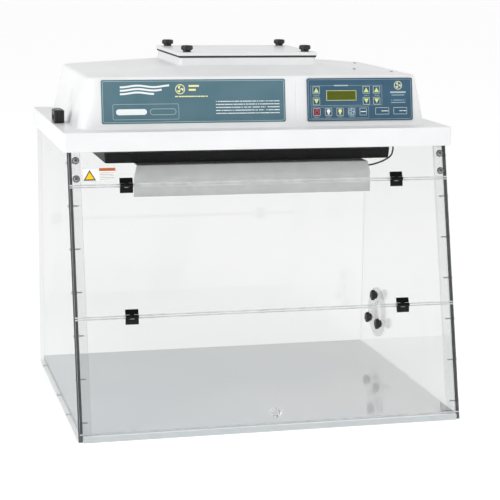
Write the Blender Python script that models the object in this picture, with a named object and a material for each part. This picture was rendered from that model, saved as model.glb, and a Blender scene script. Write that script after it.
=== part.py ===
"""Bench-top clear-walled fume workstation, modelled part by part.

Metres, +Z up, +X to the user's right, -Y towards the user.
The origin is the middle of the underside of the base plate.
"""
import math

import bmesh
import bpy
from mathutils import Matrix, Vector

# ---------------------------------------------------------------- driving dimensions
WIDTH = 0.813                       # over the side panels: 32 in
DEPTH = 0.660                       # base plate, front to back
PANEL_TOP = 0.600                   # top edge of the clear walls, hidden inside the skirt
FRONT_LEAN = math.radians(13.93)    # the front leans back from the vertical
GAP = 0.0003                        # clearance between pieces that touch
BASE_THICK = 0.012
SIDE_THICK = 0.009
BACK_THICK = 0.006
DOOR_THICK = 0.006
DOOR_HALF_WIDTH = 0.404
DOOR_SEAM = 0.0015                  # open seam between two door panels
FOLD_HEIGHTS = (0.241, 0.500)       # lower and upper fold line, above the bench
STRIP_WIDTH = 0.0175
STRIP_THICK = 0.009

HINGE_X = 0.289
HINGE_OUT = 0.0046                  # hinge axis in front of the doors' outer face
HINGE_WIDTH = 0.027
HINGE_REACH = 0.0155                # how far a leaf runs up or down from the axis
KNUCKLE_R = 0.0042
KNUCKLE_WIDTH = 0.009
PIN_R = 0.0014

SKIRT_BOTTOM = 0.568
FLANGE_TOP = 0.6075
HOUSING_LEAN = math.radians(9.0)    # the control face leans back
HOUSING_FRONT = -0.150              # control face where it meets the flange
ROOF_EDGE = 0.713
PLINTH_BASE = 0.731
PLINTH_TOP = 0.747
SHELL_THICK = 0.0035

PORT_Y = 0.202
PORT_Z = 0.113
PORT_R = 0.028
PORT_COVER_R = 0.060
PORT_KNOB_R = 0.042                 # pitch radius of the three port knobs
KNOB_R = 0.013
STUD_R = 0.003
STUD_PLAY = 0.0006

TRAY_HALF = 0.313
TRAY_FRONT = -0.087
TRAY_BACK = 0.205
TRAY_BOTTOM = 0.529
FAN_Y = 0.0625

COVER_HALF = (0.1524, 0.1275)       # 12 in wide
COVER_MIDDLE = Vector((0.0, FAN_Y, 0.0))
COVER_THICK = 0.007
GASKET_THICK = 0.0036
COVER_KNOB = (0.130, 0.1055)

PANEL_PLATE = (0.1084, 0.3429, 0.090)   # left edge, right edge, height of the keypad
LABEL_PLATE = (-0.329, 0.061, 0.090)
PLATE_RISE = 0.0112                 # lower edge of both plates above the flange, along the face
KEY_SIZE = 0.0165
WIDE_KEY = (0.0315, 0.0155)
KEY_GAP = 0.0005
KEY_TRAVEL = 0.0005

TUBE_HALF = 0.2180                  # 18 in lamps
SHADE_HALF = 0.2587


# ---------------------------------------------------------------- scene, finishes and helpers
def clear_scene():
    for thing in list(bpy.data.objects):
        bpy.data.objects.remove(thing, do_unlink=True)


FINISHES = {                        # colour, roughness, metallic, alpha
    "white_shell": ((0.84, 0.85, 0.86), 0.35, 0.0, 1.0),
    "clear_acrylic": ((0.86, 0.89, 0.90), 0.05, 0.0, 0.25),
    "white_panel": ((0.80, 0.83, 0.85), 0.08, 0.0, 1.0),
    "black_plastic": ((0.02, 0.02, 0.022), 0.45, 0.0, 1.0),
    "label_teal": ((0.09, 0.17, 0.22), 0.4, 0.0, 1.0),
    "keypad_blue": ((0.08, 0.15, 0.24), 0.4, 0.0, 1.0),
    "key_green": ((0.55, 0.62, 0.35), 0.4, 0.0, 1.0),
    "key_blue": ((0.35, 0.42, 0.50), 0.4, 0.0, 1.0),
    "key_red": ((0.25, 0.03, 0.04), 0.4, 0.0, 1.0),
    "lcd_olive": ((0.15, 0.19, 0.01), 0.1, 0.0, 1.0),
    "gasket_rubber": ((0.06, 0.06, 0.06), 0.7, 0.0, 1.0),
    "filter_media": ((0.85, 0.85, 0.82), 0.9, 0.0, 1.0),
    "sheet_aluminium": ((0.62, 0.64, 0.65), 0.3, 1.0, 1.0),
    "lamp_glass": ((0.92, 0.94, 0.95), 0.1, 0.0, 1.0),
    "motor_steel": ((0.35, 0.36, 0.38), 0.4, 1.0, 1.0),
}


def finish(node, name):
    colour, roughness, metallic, alpha = FINISHES[name]
    material = bpy.data.materials.new(f"{node}_{name}")
    material.use_nodes = True
    shader = material.node_tree.nodes["Principled BSDF"]
    shader.inputs["Base Color"].default_value = (*colour, 1.0)
    shader.inputs["Roughness"].default_value = roughness
    shader.inputs["Metallic"].default_value = metallic
    shader.inputs["Alpha"].default_value = alpha
    return material


def add(node, mesh, finish_name, matrix=None, parent=None):
    """One sub-part: an object of its own, with its own finish."""
    thing = bpy.data.objects.new(node, mesh)
    bpy.context.collection.objects.link(thing)
    thing.data.materials.append(None)
    thing.material_slots[0].link = "OBJECT"
    thing.material_slots[0].material = finish(node, finish_name)
    thing.matrix_world = matrix if matrix is not None else Matrix()
    if parent is not None:
        thing.parent = parent
        thing.matrix_parent_inverse = parent.matrix_world.inverted()
    bpy.context.view_layer.update()
    return thing


def to_mesh(name, bm):
    bmesh.ops.recalc_face_normals(bm, faces=bm.faces)
    mesh = bpy.data.meshes.new(name)
    bm.to_mesh(mesh)
    bm.free()
    return mesh


def block(name, low, high):
    """A rectangular piece between two corners."""
    bm = bmesh.new()
    bmesh.ops.create_cube(bm, size=1.0)
    low = Vector(low)
    high = Vector(high)
    for vert in bm.verts:
        vert.co = [low[i] + (vert.co[i] + 0.5) * (high[i] - low[i]) for i in range(3)]
    return to_mesh(name, bm)


def prism(name, outline, left, right):
    """An outline in the YZ plane, extruded along X from left to right."""
    bm = bmesh.new()
    face = bm.faces.new([bm.verts.new((left, y, z)) for y, z in outline])
    side = bmesh.ops.extrude_face_region(bm, geom=[face])["geom"]
    corners = [item for item in side if isinstance(item, bmesh.types.BMVert)]
    bmesh.ops.translate(bm, vec=(right - left, 0, 0), verts=corners)
    return to_mesh(name, bm)


def turned(name, profile, sides=24):
    """A (radius, height) profile turned about Z: a tube if it never touches the axis."""
    bm = bmesh.new()
    rings = [circle(bm, radius, height, sides) for radius, height in profile if radius > 0]
    pairs = list(zip(rings, rings[1:]))
    if profile[0][0] > 0:
        pairs.append((rings[-1], rings[0]))
    else:
        bm.faces.new(rings[0])
        bm.faces.new(rings[-1])
    for one, two in pairs:
        bridge(bm, one, two)
    mesh = to_mesh(name, bm)
    mesh.shade_smooth()
    mesh.set_sharp_from_angle(angle=math.radians(35))
    return mesh


def rod(name, radius, low, high, sides):
    """A plain round bar on the Z axis."""
    return turned(name, [(0, low), (radius, low), (radius, high), (0, high)], sides)


def circle(bm, radius, height, sides):
    angles = [2 * math.pi * i / sides for i in range(sides)]
    return [bm.verts.new((radius * math.cos(a), radius * math.sin(a), height)) for a in angles]


def bridge(bm, one, two):
    """Join two rings of vertices of the same count with a band of faces."""
    for i in range(len(one)):
        j = (i + 1) % len(one)
        bm.faces.new([one[i], one[j], two[j], two[i]])


def combine(name, base, unions=(), cuts=()):
    """Boolean the meshes together and return the finished mesh."""
    def helper(mesh):
        thing = bpy.data.objects.new("helper", mesh)
        bpy.context.collection.objects.link(thing)
        return thing

    body = helper(base)
    tools = []
    for operation, meshes in (("UNION", unions), ("DIFFERENCE", cuts)):
        for mesh in meshes:
            tool = helper(mesh)
            tools.append(tool)
            modifier = body.modifiers.new(operation.lower(), "BOOLEAN")
            modifier.operation = operation
            modifier.solver = "EXACT"
            modifier.object = tool
    bpy.context.view_layer.update()
    evaluated = body.evaluated_get(bpy.context.evaluated_depsgraph_get())
    mesh = bpy.data.meshes.new_from_object(evaluated)
    mesh.name = name
    for thing in (body, *tools):
        bpy.data.objects.remove(thing, do_unlink=True)
    return mesh


def moved(mesh, matrix):
    mesh.transform(matrix)
    return mesh


# ---------------------------------------------------------------- the two leaning faces
TILT = Matrix.Rotation(-FRONT_LEAN, 4, "X")     # local Z runs up the front, local Y runs inwards


def front_point(up, inward):
    """(y, z) of a point so far up the sloping front and so far behind its outer face."""
    y = -DEPTH / 2 + up * math.sin(FRONT_LEAN) + inward * math.cos(FRONT_LEAN)
    z = up * math.cos(FRONT_LEAN) - inward * math.sin(FRONT_LEAN)
    return y, z


def front_y(z, inward):
    """y of the sloping front at a height, so far behind its outer face."""
    return -DEPTH / 2 + z * math.tan(FRONT_LEAN) + inward / math.cos(FRONT_LEAN)


def hinge_axis(level):
    """World point at x = 0 on one fold's hinge axis."""
    y, z = front_point(FOLD_HEIGHTS[level] / math.cos(FRONT_LEAN), -HINGE_OUT)
    return Vector((0.0, y, z))


FACE_TILT = Matrix.Rotation(-HOUSING_LEAN, 4, "X")
FACE = Matrix.Translation((0, HOUSING_FRONT, FLANGE_TOP)) @ FACE_TILT


# ---------------------------------------------------------------- clear enclosure
def make_enclosure():
    inner = WIDTH / 2 - SIDE_THICK - GAP
    low = (-inner, -DEPTH / 2, 0)
    add("base_plate", block("base_plate", low, (inner, DEPTH / 2, BASE_THICK)), "white_panel")
    low = (-inner, DEPTH / 2 - BACK_THICK, BASE_THICK + GAP)
    add("back_panel", block("back_panel", low, (inner, DEPTH / 2, PANEL_TOP)), "clear_acrylic")

    edge = DOOR_THICK + GAP
    outline = [
        (front_y(0, edge), 0),
        (DEPTH / 2, 0),
        (DEPTH / 2, PANEL_TOP),
        (front_y(PANEL_TOP, edge), PANEL_TOP),
    ]
    outer = WIDTH / 2
    left = prism("left_side_panel", outline, -outer, -outer + SIDE_THICK)
    add("left_side_panel", left, "clear_acrylic")
    right = prism("right_side_panel", outline, outer - SIDE_THICK, outer)
    hole = rod("port_hole", PORT_R, -0.03, 0.03, 24)
    place = Matrix.Translation((outer, PORT_Y, PORT_Z)) @ Matrix.Rotation(math.pi / 2, 4, "Y")
    right = combine("right_side_panel", right, cuts=[moved(hole, place)])
    add("right_side_panel", right, "clear_acrylic")

    back = edge + STRIP_THICK
    foot = BASE_THICK + GAP
    strip = [
        (front_y(foot, edge), foot),
        (front_y(foot, back), foot),
        (front_y(PANEL_TOP, back), PANEL_TOP),
        (front_y(PANEL_TOP, edge), PANEL_TOP),
    ]
    left = prism("left_front_strip", strip, -inner, -inner + STRIP_WIDTH)
    add("left_front_strip", left, "clear_acrylic")
    right = prism("right_front_strip", strip, inner - STRIP_WIDTH, inner)
    add("right_front_strip", right, "clear_acrylic")


# ---------------------------------------------------------------- folding front
def door_panel(name, bottom, top, axis):
    """A door panel between two heights up the slope, with its origin on its hinge axis."""
    outline = [front_point(up, inward) for up, inward in (
        (bottom, 0), (bottom, DOOR_THICK), (top, DOOR_THICK), (top, 0))]
    mesh = prism(name, outline, -DOOR_HALF_WIDTH, DOOR_HALF_WIDTH)
    place = Matrix.Translation(axis)
    mesh.transform(place.inverted())
    return mesh, place


def make_front():
    """The fixed upper panel, and two doors that fold up one after the other."""
    folds = [height / math.cos(FRONT_LEAN) for height in FOLD_HEIGHTS]
    seam = DOOR_SEAM / 2
    top = PANEL_TOP / math.cos(FRONT_LEAN)
    outline = [front_point(up, inward) for up, inward in (
        (folds[1] + seam, 0), (folds[1] + seam, DOOR_THICK), (top, DOOR_THICK), (top, 0))]
    fixed = prism("front_fixed_panel", outline, -DOOR_HALF_WIDTH, DOOR_HALF_WIDTH)
    fixed = add("front_fixed_panel", fixed, "clear_acrylic")

    low = folds[0] + seam
    mesh, place = door_panel("middle_door_panel", low, folds[1] - seam, hinge_axis(1))
    middle = add("middle_door_panel", mesh, "clear_acrylic", place, fixed)
    low = (BASE_THICK + 2 * DOOR_SEAM) / math.cos(FRONT_LEAN)
    mesh, place = door_panel("lower_door_panel", low, folds[0] - seam, hinge_axis(0))
    lower = add("lower_door_panel", mesh, "clear_acrylic", place, middle)
    make_door_knob(lower)
    make_hinges(0, middle, lower)
    make_hinges(1, fixed, middle)


def make_door_knob(door):
    """Clear pull knob at the bottom middle of the lower door, with its axis out of the door."""
    profile = [
        (0, 0), (0.005, 0), (0.005, 0.007), (0.0095, 0.010),
        (0.0100, 0.016), (0.0080, 0.019), (0, 0.019),
    ]
    mesh = turned("door_knob", profile, 16)
    y, z = front_point(0.039, -GAP)
    place = Matrix.Translation((0, y, z)) @ TILT @ Matrix.Rotation(math.pi / 2, 4, "X")
    add("door_knob", mesh, "clear_acrylic", place, door)


def knuckle(left, right):
    """A short barrel round the hinge axis, with the tongue that carries it, along X."""
    near = 0.0006
    far = 0.0038
    top = KNUCKLE_R + 0.0019
    begin = math.acos(near / KNUCKLE_R)
    end = 2 * math.pi + math.acos(far / KNUCKLE_R)
    steps = 14
    angles = [begin + (end - begin) * i / steps for i in range(steps + 1)]
    outline = [(KNUCKLE_R * math.cos(a), KNUCKLE_R * math.sin(a)) for a in angles]
    return prism("knuckle", [(near, top), *outline, (far, top)], left, right)


def leaf_mesh(name, spans):
    """A wedge-shaped leaf above the hinge axis, with a knuckle on each span of X."""
    half = HINGE_WIDTH / 2
    start = KNUCKLE_R + 0.0004
    door_side = HINGE_OUT - GAP
    outline = [
        (door_side, start), (door_side, HINGE_REACH),
        (door_side - 0.002, HINGE_REACH), (0.0003, start),
    ]
    plate = prism(name, outline, -half, half)
    unions = [knuckle(left, right) for left, right in spans]
    hole = rod("pin_hole", PIN_R + GAP, -half - 0.01, half + 0.01, 16)
    hole.transform(Matrix.Rotation(math.pi / 2, 4, "Y"))
    return combine(name, plate, unions=unions, cuts=[hole])


def make_hinges(level, upper, lower):
    """Two pin hinges on one fold line: an upper leaf, a lower leaf and a pin each."""
    half = HINGE_WIDTH / 2
    middle = KNUCKLE_WIDTH / 2
    upper_leaf = leaf_mesh("upper_leaf", [(-middle, middle)])
    end = half - 0.0002
    lower_leaf = leaf_mesh("lower_leaf", [(-end, -middle - GAP), (middle + GAP, end)])
    lower_leaf.transform(Matrix.Scale(-1, 4, (0, 0, 1)))
    lower_leaf.flip_normals()
    pin = rod("hinge_pin", PIN_R, -half, half, 16)
    pin.transform(Matrix.Rotation(math.pi / 2, 4, "Y"))
    level_name = ("lower", "upper")[level]
    for side, x in (("left", -HINGE_X), ("right", HINGE_X)):
        place = Matrix.Translation(hinge_axis(level) + Vector((x, 0, 0))) @ TILT
        name = f"{level_name}_{side}_hinge"
        add(f"{name}_top_leaf", upper_leaf, "black_plastic", place, upper)
        add(f"{name}_bottom_leaf", lower_leaf, "black_plastic", place, lower)
        add(f"{name}_pin", pin, "motor_steel", place, upper)


# ---------------------------------------------------------------- blower housing
def ring(bm, z, half, front, back, radius, segments=3):
    """A rounded rectangle of vertices at one height."""
    points = []
    for turn, (x, y) in enumerate(((half, back), (-half, back), (-half, front), (half, front))):
        centre_x = x - math.copysign(radius, x)
        centre_y = y - radius if y == back else y + radius
        for step in range(segments + 1):
            angle = math.pi / 2 * (turn + step / segments)
            x_out = radius * math.cos(angle)
            y_out = radius * math.sin(angle)
            points.append((centre_x + x_out, centre_y + y_out))
    return [bm.verts.new((x, y, z)) for x, y in points]


def shell_of_rings(name, sizes):
    """A shell whose section is a closed chain of rounded rectangles."""
    bm = bmesh.new()
    rings = [ring(bm, *size) for size in sizes]
    for one, two in zip(rings, rings[1:] + rings[:1]):
        bridge(bm, one, two)
    return to_mesh(name, bm)


def make_housing():
    """White shell: skirt, flange, leaning walls, hipped roof and plinth, open below and on top."""
    face_top = HOUSING_FRONT + (ROOF_EDGE - FLANGE_TOP) * math.tan(HOUSING_LEAN)
    wall = SHELL_THICK
    plinth_x = COVER_HALF[0] - 0.003
    plinth_front = COVER_MIDDLE.y - COVER_HALF[1] + 0.003
    plinth_back = COVER_MIDDLE.y + COVER_HALF[1] - 0.003
    rim = 0.024
    sizes = [
        # z, half width, front, back, corner radius, from the skirt's lower edge up the outside
        (SKIRT_BOTTOM, 0.4150, -0.1980, 0.3350, 0.006),
        (FLANGE_TOP - 0.003, 0.4145, -0.1975, 0.3345, 0.006),
        (FLANGE_TOP, 0.4125, -0.1955, 0.3325, 0.005),
        (FLANGE_TOP + 0.0004, 0.3795, HOUSING_FRONT - 0.003, 0.2960, 0.030),
        (FLANGE_TOP + 0.0025, 0.3765, HOUSING_FRONT + 0.0003, 0.2920, 0.028),
        (ROOF_EDGE - 0.007, 0.3575, face_top - 0.001, 0.2690, 0.024),
        (ROOF_EDGE, 0.3515, face_top + 0.006, 0.2630, 0.020),
        (PLINTH_BASE, plinth_x + 0.004, plinth_front - 0.004, plinth_back + 0.004, 0.008),
        (PLINTH_BASE + 0.003, plinth_x, plinth_front, plinth_back, 0.006),
        (PLINTH_TOP, plinth_x, plinth_front, plinth_back, 0.006),
        # and back down the inside
        (PLINTH_TOP, plinth_x - rim, plinth_front + rim, plinth_back - rim, 0.005),
        (PLINTH_TOP - wall, plinth_x - rim, plinth_front + rim, plinth_back - rim, 0.005),
        (PLINTH_TOP - wall, plinth_x - wall, plinth_front + wall, plinth_back - wall, 0.004),
        (PLINTH_BASE - wall, plinth_x - wall, plinth_front + wall, plinth_back - wall, 0.004),
        (ROOF_EDGE - wall, 0.3515 - wall, face_top + 0.006 + wall, 0.2630 - wall, 0.018),
        (PANEL_TOP + 0.004, 0.3765 - wall, HOUSING_FRONT + 0.0005 + wall, 0.2920 - wall, 0.025),
        (PANEL_TOP + 0.004, 0.4115, -0.1940, 0.3315, 0.005),
        (SKIRT_BOTTOM, 0.4115, -0.1945, 0.3320, 0.005),
    ]
    add("blower_housing", shell_of_rings("blower_housing", sizes), "white_shell")


# ---------------------------------------------------------------- filter cover on the plinth
def lobed_knob(name, head_low, head_high, stud_low, lobes=6):
    """A scalloped knob head on Z with a threaded stud below it."""
    bm = bmesh.new()
    sides = lobes * 4
    rings = []
    head = ((0.55, head_low), (0.98, head_low + 0.004), (1.0, head_high - 0.003), (0.82, head_high))
    for scale, height in head:
        points = []
        for i in range(sides):
            angle = 2 * math.pi * i / sides
            radius = KNOB_R * scale * (0.93 + 0.07 * math.cos(lobes * angle))
            points.append(bm.verts.new((radius * math.cos(angle), radius * math.sin(angle), height)))
        rings.append(points)
    stud = [circle(bm, STUD_R, height, sides) for height in (stud_low, head_low)]
    chain = [*stud, *rings]
    for one, two in zip(chain, chain[1:]):
        bridge(bm, one, two)
    bm.faces.new(chain[0])
    bm.faces.new(chain[-1])
    mesh = to_mesh(name, bm)
    mesh.shade_smooth()
    mesh.set_sharp_from_angle(angle=math.radians(40))
    return mesh


def stud_holes(low, high):
    holes = []
    for x, y in cover_knob_places():
        hole = rod("stud_hole", STUD_R + STUD_PLAY, low, high, 12)
        holes.append(moved(hole, Matrix.Translation((x, y, 0))))
    return holes


def cover_knob_places():
    x, y = COVER_KNOB
    return [(sx * x, COVER_MIDDLE.y + sy * y) for sy in (-1, 1) for sx in (-1, 1)]


def make_filter_cover():
    """A flat cover on a gasket, held down on the plinth by four hand knobs."""
    half_x, half_y = COVER_HALF
    low = COVER_MIDDLE + Vector((-half_x, -half_y, PLINTH_TOP + GAP))
    high = COVER_MIDDLE + Vector((half_x, half_y, PLINTH_TOP + GAP + GASKET_THICK))
    slab = block("cover_gasket", low + Vector((0.002, 0.002, 0)), high - Vector((0.002, 0.002, 0)))
    window = block("window", low + Vector((0.030, 0.030, -0.01)), high - Vector((0.030, 0.030, -0.01)))
    holes = stud_holes(PLINTH_TOP - 0.01, PLINTH_TOP + 0.02)
    cover_low = high.z + GAP
    cover_top = cover_low + COVER_THICK
    corner = Vector((low.x, low.y, cover_low))
    plate = block("filter_cover", corner, Vector((high.x, high.y, cover_top)))
    plate_holes = stud_holes(PLINTH_TOP - 0.01, PLINTH_TOP + 0.02)
    cover = add("filter_cover", combine("filter_cover", plate, cuts=plate_holes), "white_shell")
    add("cover_gasket", combine("cover_gasket", slab, cuts=[window, *holes]), "gasket_rubber")
    head_low = GAP
    knob = lobed_knob("cover_knob", head_low, head_low + 0.0145, PLINTH_TOP + GAP - cover_top)
    names = ("front_left", "front_right", "back_left", "back_right")
    for name, (x, y) in zip(names, cover_knob_places()):
        add(f"{name}_cover_knob", knob, "black_plastic", Matrix.Translation((x, y, cover_top)), cover)


# ---------------------------------------------------------------- label and keypad
def on_face(name, left, right, low, high, near, far):
    """A slab on the control face: across, up the face, and out from it."""
    return moved(block(name, (left, -far, low), (right, -near, high)), FACE)


def key_layout():
    """Name, middle across, middle down from the plate's top edge, width, height and finish."""
    keys = []
    for column, across in (("speed", 0.0203), ("time", 0.1311), ("timer", 0.1542)):
        for way, down in (("up", 0.0249), ("down", 0.0484)):
            keys.append((f"{column}_{way}_key", across, down, KEY_SIZE, KEY_SIZE, "key_green"))
    for index, name in enumerate(("power", "lamp", "uv", "fan", "mute")):
        across = 0.0207 + 0.0257 * index
        colour = "key_red" if name == "power" else "key_blue"
        keys.append((f"{name}_key", across, 0.0710, KEY_SIZE, KEY_SIZE, colour))
    for name, across in (("start", 0.1662), ("stop", 0.2069)):
        keys.append((f"{name}_key", across, 0.0702, *WIDE_KEY, "keypad_blue"))
    return keys


LCD_WINDOW = (0.0758, 0.0364, 0.0665, 0.0214)   # middle across, middle down, width, height


def make_controls():
    left, right, height = LABEL_PLATE
    top = PLATE_RISE + height
    label = on_face("front_label", left, right, PLATE_RISE, top, GAP, GAP + 0.0006)
    add("front_label", label, "label_teal")

    left, right, height = PANEL_PLATE
    plate = on_face("controller_plate", left, right, PLATE_RISE, top, GAP, GAP + 0.0014)

    def pocket(across, down, width, tall):
        x = left + across
        up = top - down
        half_w = width / 2 + KEY_GAP
        half_h = tall / 2 + KEY_GAP
        return on_face("pocket", x - half_w, x + half_w, up - half_h, up + half_h, -0.005, 0.02)

    keys = key_layout()
    holes = [pocket(across, down, width, tall) for _, across, down, width, tall, _ in keys]
    holes.append(pocket(*LCD_WINDOW))
    plate = combine("controller_plate", plate, cuts=holes)
    carrier = add("controller_plate", plate, "keypad_blue")

    across, down, width, tall = LCD_WINDOW
    x = left + across
    up = top - down
    half_w = width / 2
    half_h = tall / 2
    window = on_face("lcd_window", x - half_w, x + half_w, up - half_h, up + half_h, GAP, GAP + 0.0010)
    add("lcd_window", window, "lcd_olive")
    for name, across, down, width, tall, colour in keys:
        cap = block(name, (-width / 2, -0.0005, -tall / 2), (width / 2, 0.0005, tall / 2))
        middle = Vector((left + across, -(GAP + KEY_TRAVEL + 0.0008), top - down))
        place = Matrix.Translation(FACE @ middle) @ FACE_TILT
        add(name, cap, colour, place, carrier)


def make_power_inlet():
    """Mains inlet block on the left ledge, with its socket facing left and a rocker on top."""
    low = Vector((-0.4105, -0.022, FLANGE_TOP + 0.0012))
    high = Vector((-0.3890, 0.020, FLANGE_TOP + 0.0275))
    body = block("power_inlet", low, high)
    socket_low = low + Vector((-0.01, 0.008, 0.005))
    socket = block("socket", socket_low, (low.x + 0.012, high.y - 0.008, low.z + 0.016))
    well_low = Vector((low.x + 0.004, low.y + 0.008, high.z - 0.006))
    well_high = Vector((high.x - 0.004, high.y - 0.008, high.z + 0.01))
    well = block("well", well_low, well_high)
    add("power_inlet", combine("power_inlet", body, cuts=[socket, well]), "black_plastic")

    half_y = (well_high.y - well_low.y) / 2 - 0.0012
    outline = [
        (-half_y, 0.0010), (-half_y, -0.0010), (0, -0.0035),
        (half_y, -0.0010), (half_y, 0.0030), (0, 0.0015),
    ]
    half_x = (well_high.x - well_low.x) / 2 - 0.0006
    rocker = prism("rocker_switch", outline, -half_x, half_x)
    middle = (well_low + well_high) / 2
    middle.z = high.z - 0.0005
    add("rocker_switch", rocker, "black_plastic", Matrix.Translation(middle))


# ---------------------------------------------------------------- filter, blower and lamp
def make_filter_tray():
    """Black pan that hangs from its flange in the shell and carries the filter on an inner lip."""
    top = PANEL_TOP + GAP + 0.003
    under = PANEL_TOP + GAP
    wall = 0.0025
    spread = 0.006
    lip = 0.027
    half = TRAY_HALF
    front = TRAY_FRONT
    back = TRAY_BACK
    sizes = [
        (top, 0.4055, -0.1800, 0.3290, 0.010),
        (under, 0.4055, -0.1800, 0.3290, 0.010),
        (under, half + spread, front - spread, back + spread, 0.008),
        (TRAY_BOTTOM, half, front, back, 0.006),
        (TRAY_BOTTOM, half - lip, front + lip, back - lip, 0.004),
        (TRAY_BOTTOM + wall, half - lip, front + lip, back - lip, 0.004),
        (TRAY_BOTTOM + wall, half - wall, front + wall, back - wall, 0.005),
        (top, half + spread - wall, front - spread + wall, back + spread - wall, 0.006),
    ]
    add("filter_tray", shell_of_rings("filter_tray", sizes), "black_plastic")
    inset = 0.008
    low = (-half + inset, front + inset, TRAY_BOTTOM + wall + GAP)
    high = (half - inset, back - inset, PANEL_TOP - 0.004)
    add("hepa_filter", block("hepa_filter", low, high), "filter_media")


def make_blower():
    """Motor on a bar across the tray, and a backward-curved wheel on its shaft."""
    seat = PANEL_TOP + 0.003 + 2 * GAP
    bar_top = seat + 0.003
    low = (-0.030, TRAY_FRONT - 0.040, seat)
    high = (0.030, TRAY_BACK + 0.045, bar_top)
    motor_profile = [
        (0, bar_top - 0.001), (0.050, bar_top - 0.001), (0.050, bar_top + 0.020),
        (0.012, bar_top + 0.022), (0.004, bar_top + 0.024), (0.004, bar_top + 0.075), (0, bar_top + 0.075),
    ]
    middle = Matrix.Translation((0, FAN_Y, 0))
    stator = moved(turned("stator", motor_profile, 24), middle)
    add("blower_motor", combine("blower_motor", block("bar", low, high), unions=[stator]), "motor_steel")

    bore = 0.004 + GAP
    hub_low = 0.028
    wheel_profile = [
        (bore, hub_low), (0.016, hub_low), (0.016, hub_low + 0.006), (0.098, hub_low + 0.006),
        (0.098, hub_low + 0.009), (0.016, hub_low + 0.009),
        (0.016, hub_low + 0.030), (bore, hub_low + 0.030),
    ]
    wheel = turned("impeller", wheel_profile, 32)
    blades = [impeller_blade(2 * math.pi * i / 9, hub_low + 0.008, hub_low + 0.050) for i in range(9)]
    wheel = combine("impeller", wheel, unions=blades)
    add("impeller", wheel, "motor_steel", Matrix.Translation((0, FAN_Y, bar_top)))


def impeller_blade(start, low, high):
    """One blade, curved back against the turning direction."""
    steps = 4
    inner = []
    outer = []
    for i in range(steps + 1):
        share = i / steps
        radius = 0.045 + 0.050 * share
        angle = start - 0.9 * share
        outer.append((radius * math.cos(angle), radius * math.sin(angle)))
        near = radius - 0.001
        inner.append((near * math.cos(angle - 0.022), near * math.sin(angle - 0.022)))
    bm = bmesh.new()
    face = bm.faces.new([bm.verts.new((x, y, low)) for x, y in outer + inner[::-1]])
    side = bmesh.ops.extrude_face_region(bm, geom=[face])["geom"]
    corners = [item for item in side if isinstance(item, bmesh.types.BMVert)]
    bmesh.ops.translate(bm, vec=(0, 0, high - low), verts=corners)
    return to_mesh("blade", bm)


def make_lamp():
    """Bent aluminium shade under the tray, a batten behind it, and a white and an ultraviolet tube."""
    ceiling = TRAY_BOTTOM - GAP
    thick = 0.0015
    front = -0.122
    shade = [
        (front, ceiling), (front - 0.002, 0.5005), (front + 0.001, 0.494), (front - 0.002, 0.4625),
        (front - 0.002 + thick, 0.4625), (front + 0.001 + thick, 0.494), (front - 0.002 + thick, 0.5005),
        (front + thick, ceiling - thick), (-0.064, ceiling - thick), (-0.064, ceiling),
    ]
    add("lamp_shade", prism("lamp_shade", shade, -SHADE_HALF, SHADE_HALF), "sheet_aluminium")

    top = ceiling - thick - GAP
    spine = block("spine", (-0.2345, -0.110, top - 0.014), (0.2345, -0.066, top))
    ends = []
    for side in (-1, 1):
        near, far = sorted((side * (TUBE_HALF + 0.0008), side * 0.2350))
        ends.append(block("end_block", (near, -0.1125, 0.4655), (far, -0.0635, top - 0.0004)))
    add("lamp_batten", combine("lamp_batten", spine, unions=ends), "black_plastic")

    across = Matrix.Rotation(math.pi / 2, 4, "Y")
    for name, y, radius in (("white_lamp_tube", -0.0985, 0.0115), ("uv_lamp_tube", -0.0725, 0.0080)):
        cap = 0.010
        cap_r = radius - 0.001
        profile = [
            (0, -TUBE_HALF), (cap_r, -TUBE_HALF), (cap_r, cap - TUBE_HALF), (radius, cap - TUBE_HALF),
            (radius, TUBE_HALF - cap), (cap_r, TUBE_HALF - cap), (cap_r, TUBE_HALF), (0, TUBE_HALF),
        ]
        tube = turned(name, profile, 20)
        add(name, tube, "lamp_glass", Matrix.Translation((0, y, 0.484)) @ across)
    make_lamp_lead()


LEAD_R = 0.0018
LEAD_POINTS = (
    (0.3120, -0.1150, 0.5994), (0.3122, -0.1150, 0.5800), (0.3119, -0.1150, 0.5620),
    (0.3112, -0.1150, 0.5480), (0.3080, -0.1150, 0.5385), (0.2966, -0.1140, 0.5295),
    (0.2820, -0.1105, 0.5225), (0.2630, -0.1030, 0.5165), (0.2359, -0.0900, 0.5150),
)


def smooth_route(points, per_span):
    """Points along a Catmull-Rom curve through the route's own points."""
    knots = [Vector(point) for point in points]
    knots = [2 * knots[0] - knots[1], *knots, 2 * knots[-1] - knots[-2]]
    route = []
    for a, b, c, d in zip(knots, knots[1:], knots[2:], knots[3:]):
        for step in range(per_span):
            t = step / per_span
            route.append(0.5 * ((2 * b) + (c - a) * t + (2 * a - 5 * b + 4 * c - d) * t ** 2
                                + (3 * b - a - 3 * c + d) * t ** 3))
    route.append(knots[-2])
    return route


def make_lamp_lead():
    """Supply lead of the lamps, held at both ends."""
    curve = bpy.data.curves.new("lamp_lead", "CURVE")
    curve.dimensions = "3D"
    curve.bevel_depth = LEAD_R
    curve.bevel_resolution = 2
    curve.use_fill_caps = True
    route = smooth_route(LEAD_POINTS, 3)
    spline = curve.splines.new("POLY")
    spline.points.add(len(route) - 1)
    for point, place in zip(spline.points, route):
        point.co = (*place, 1.0)
    add("lamp_lead", curve, "black_plastic")


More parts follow.
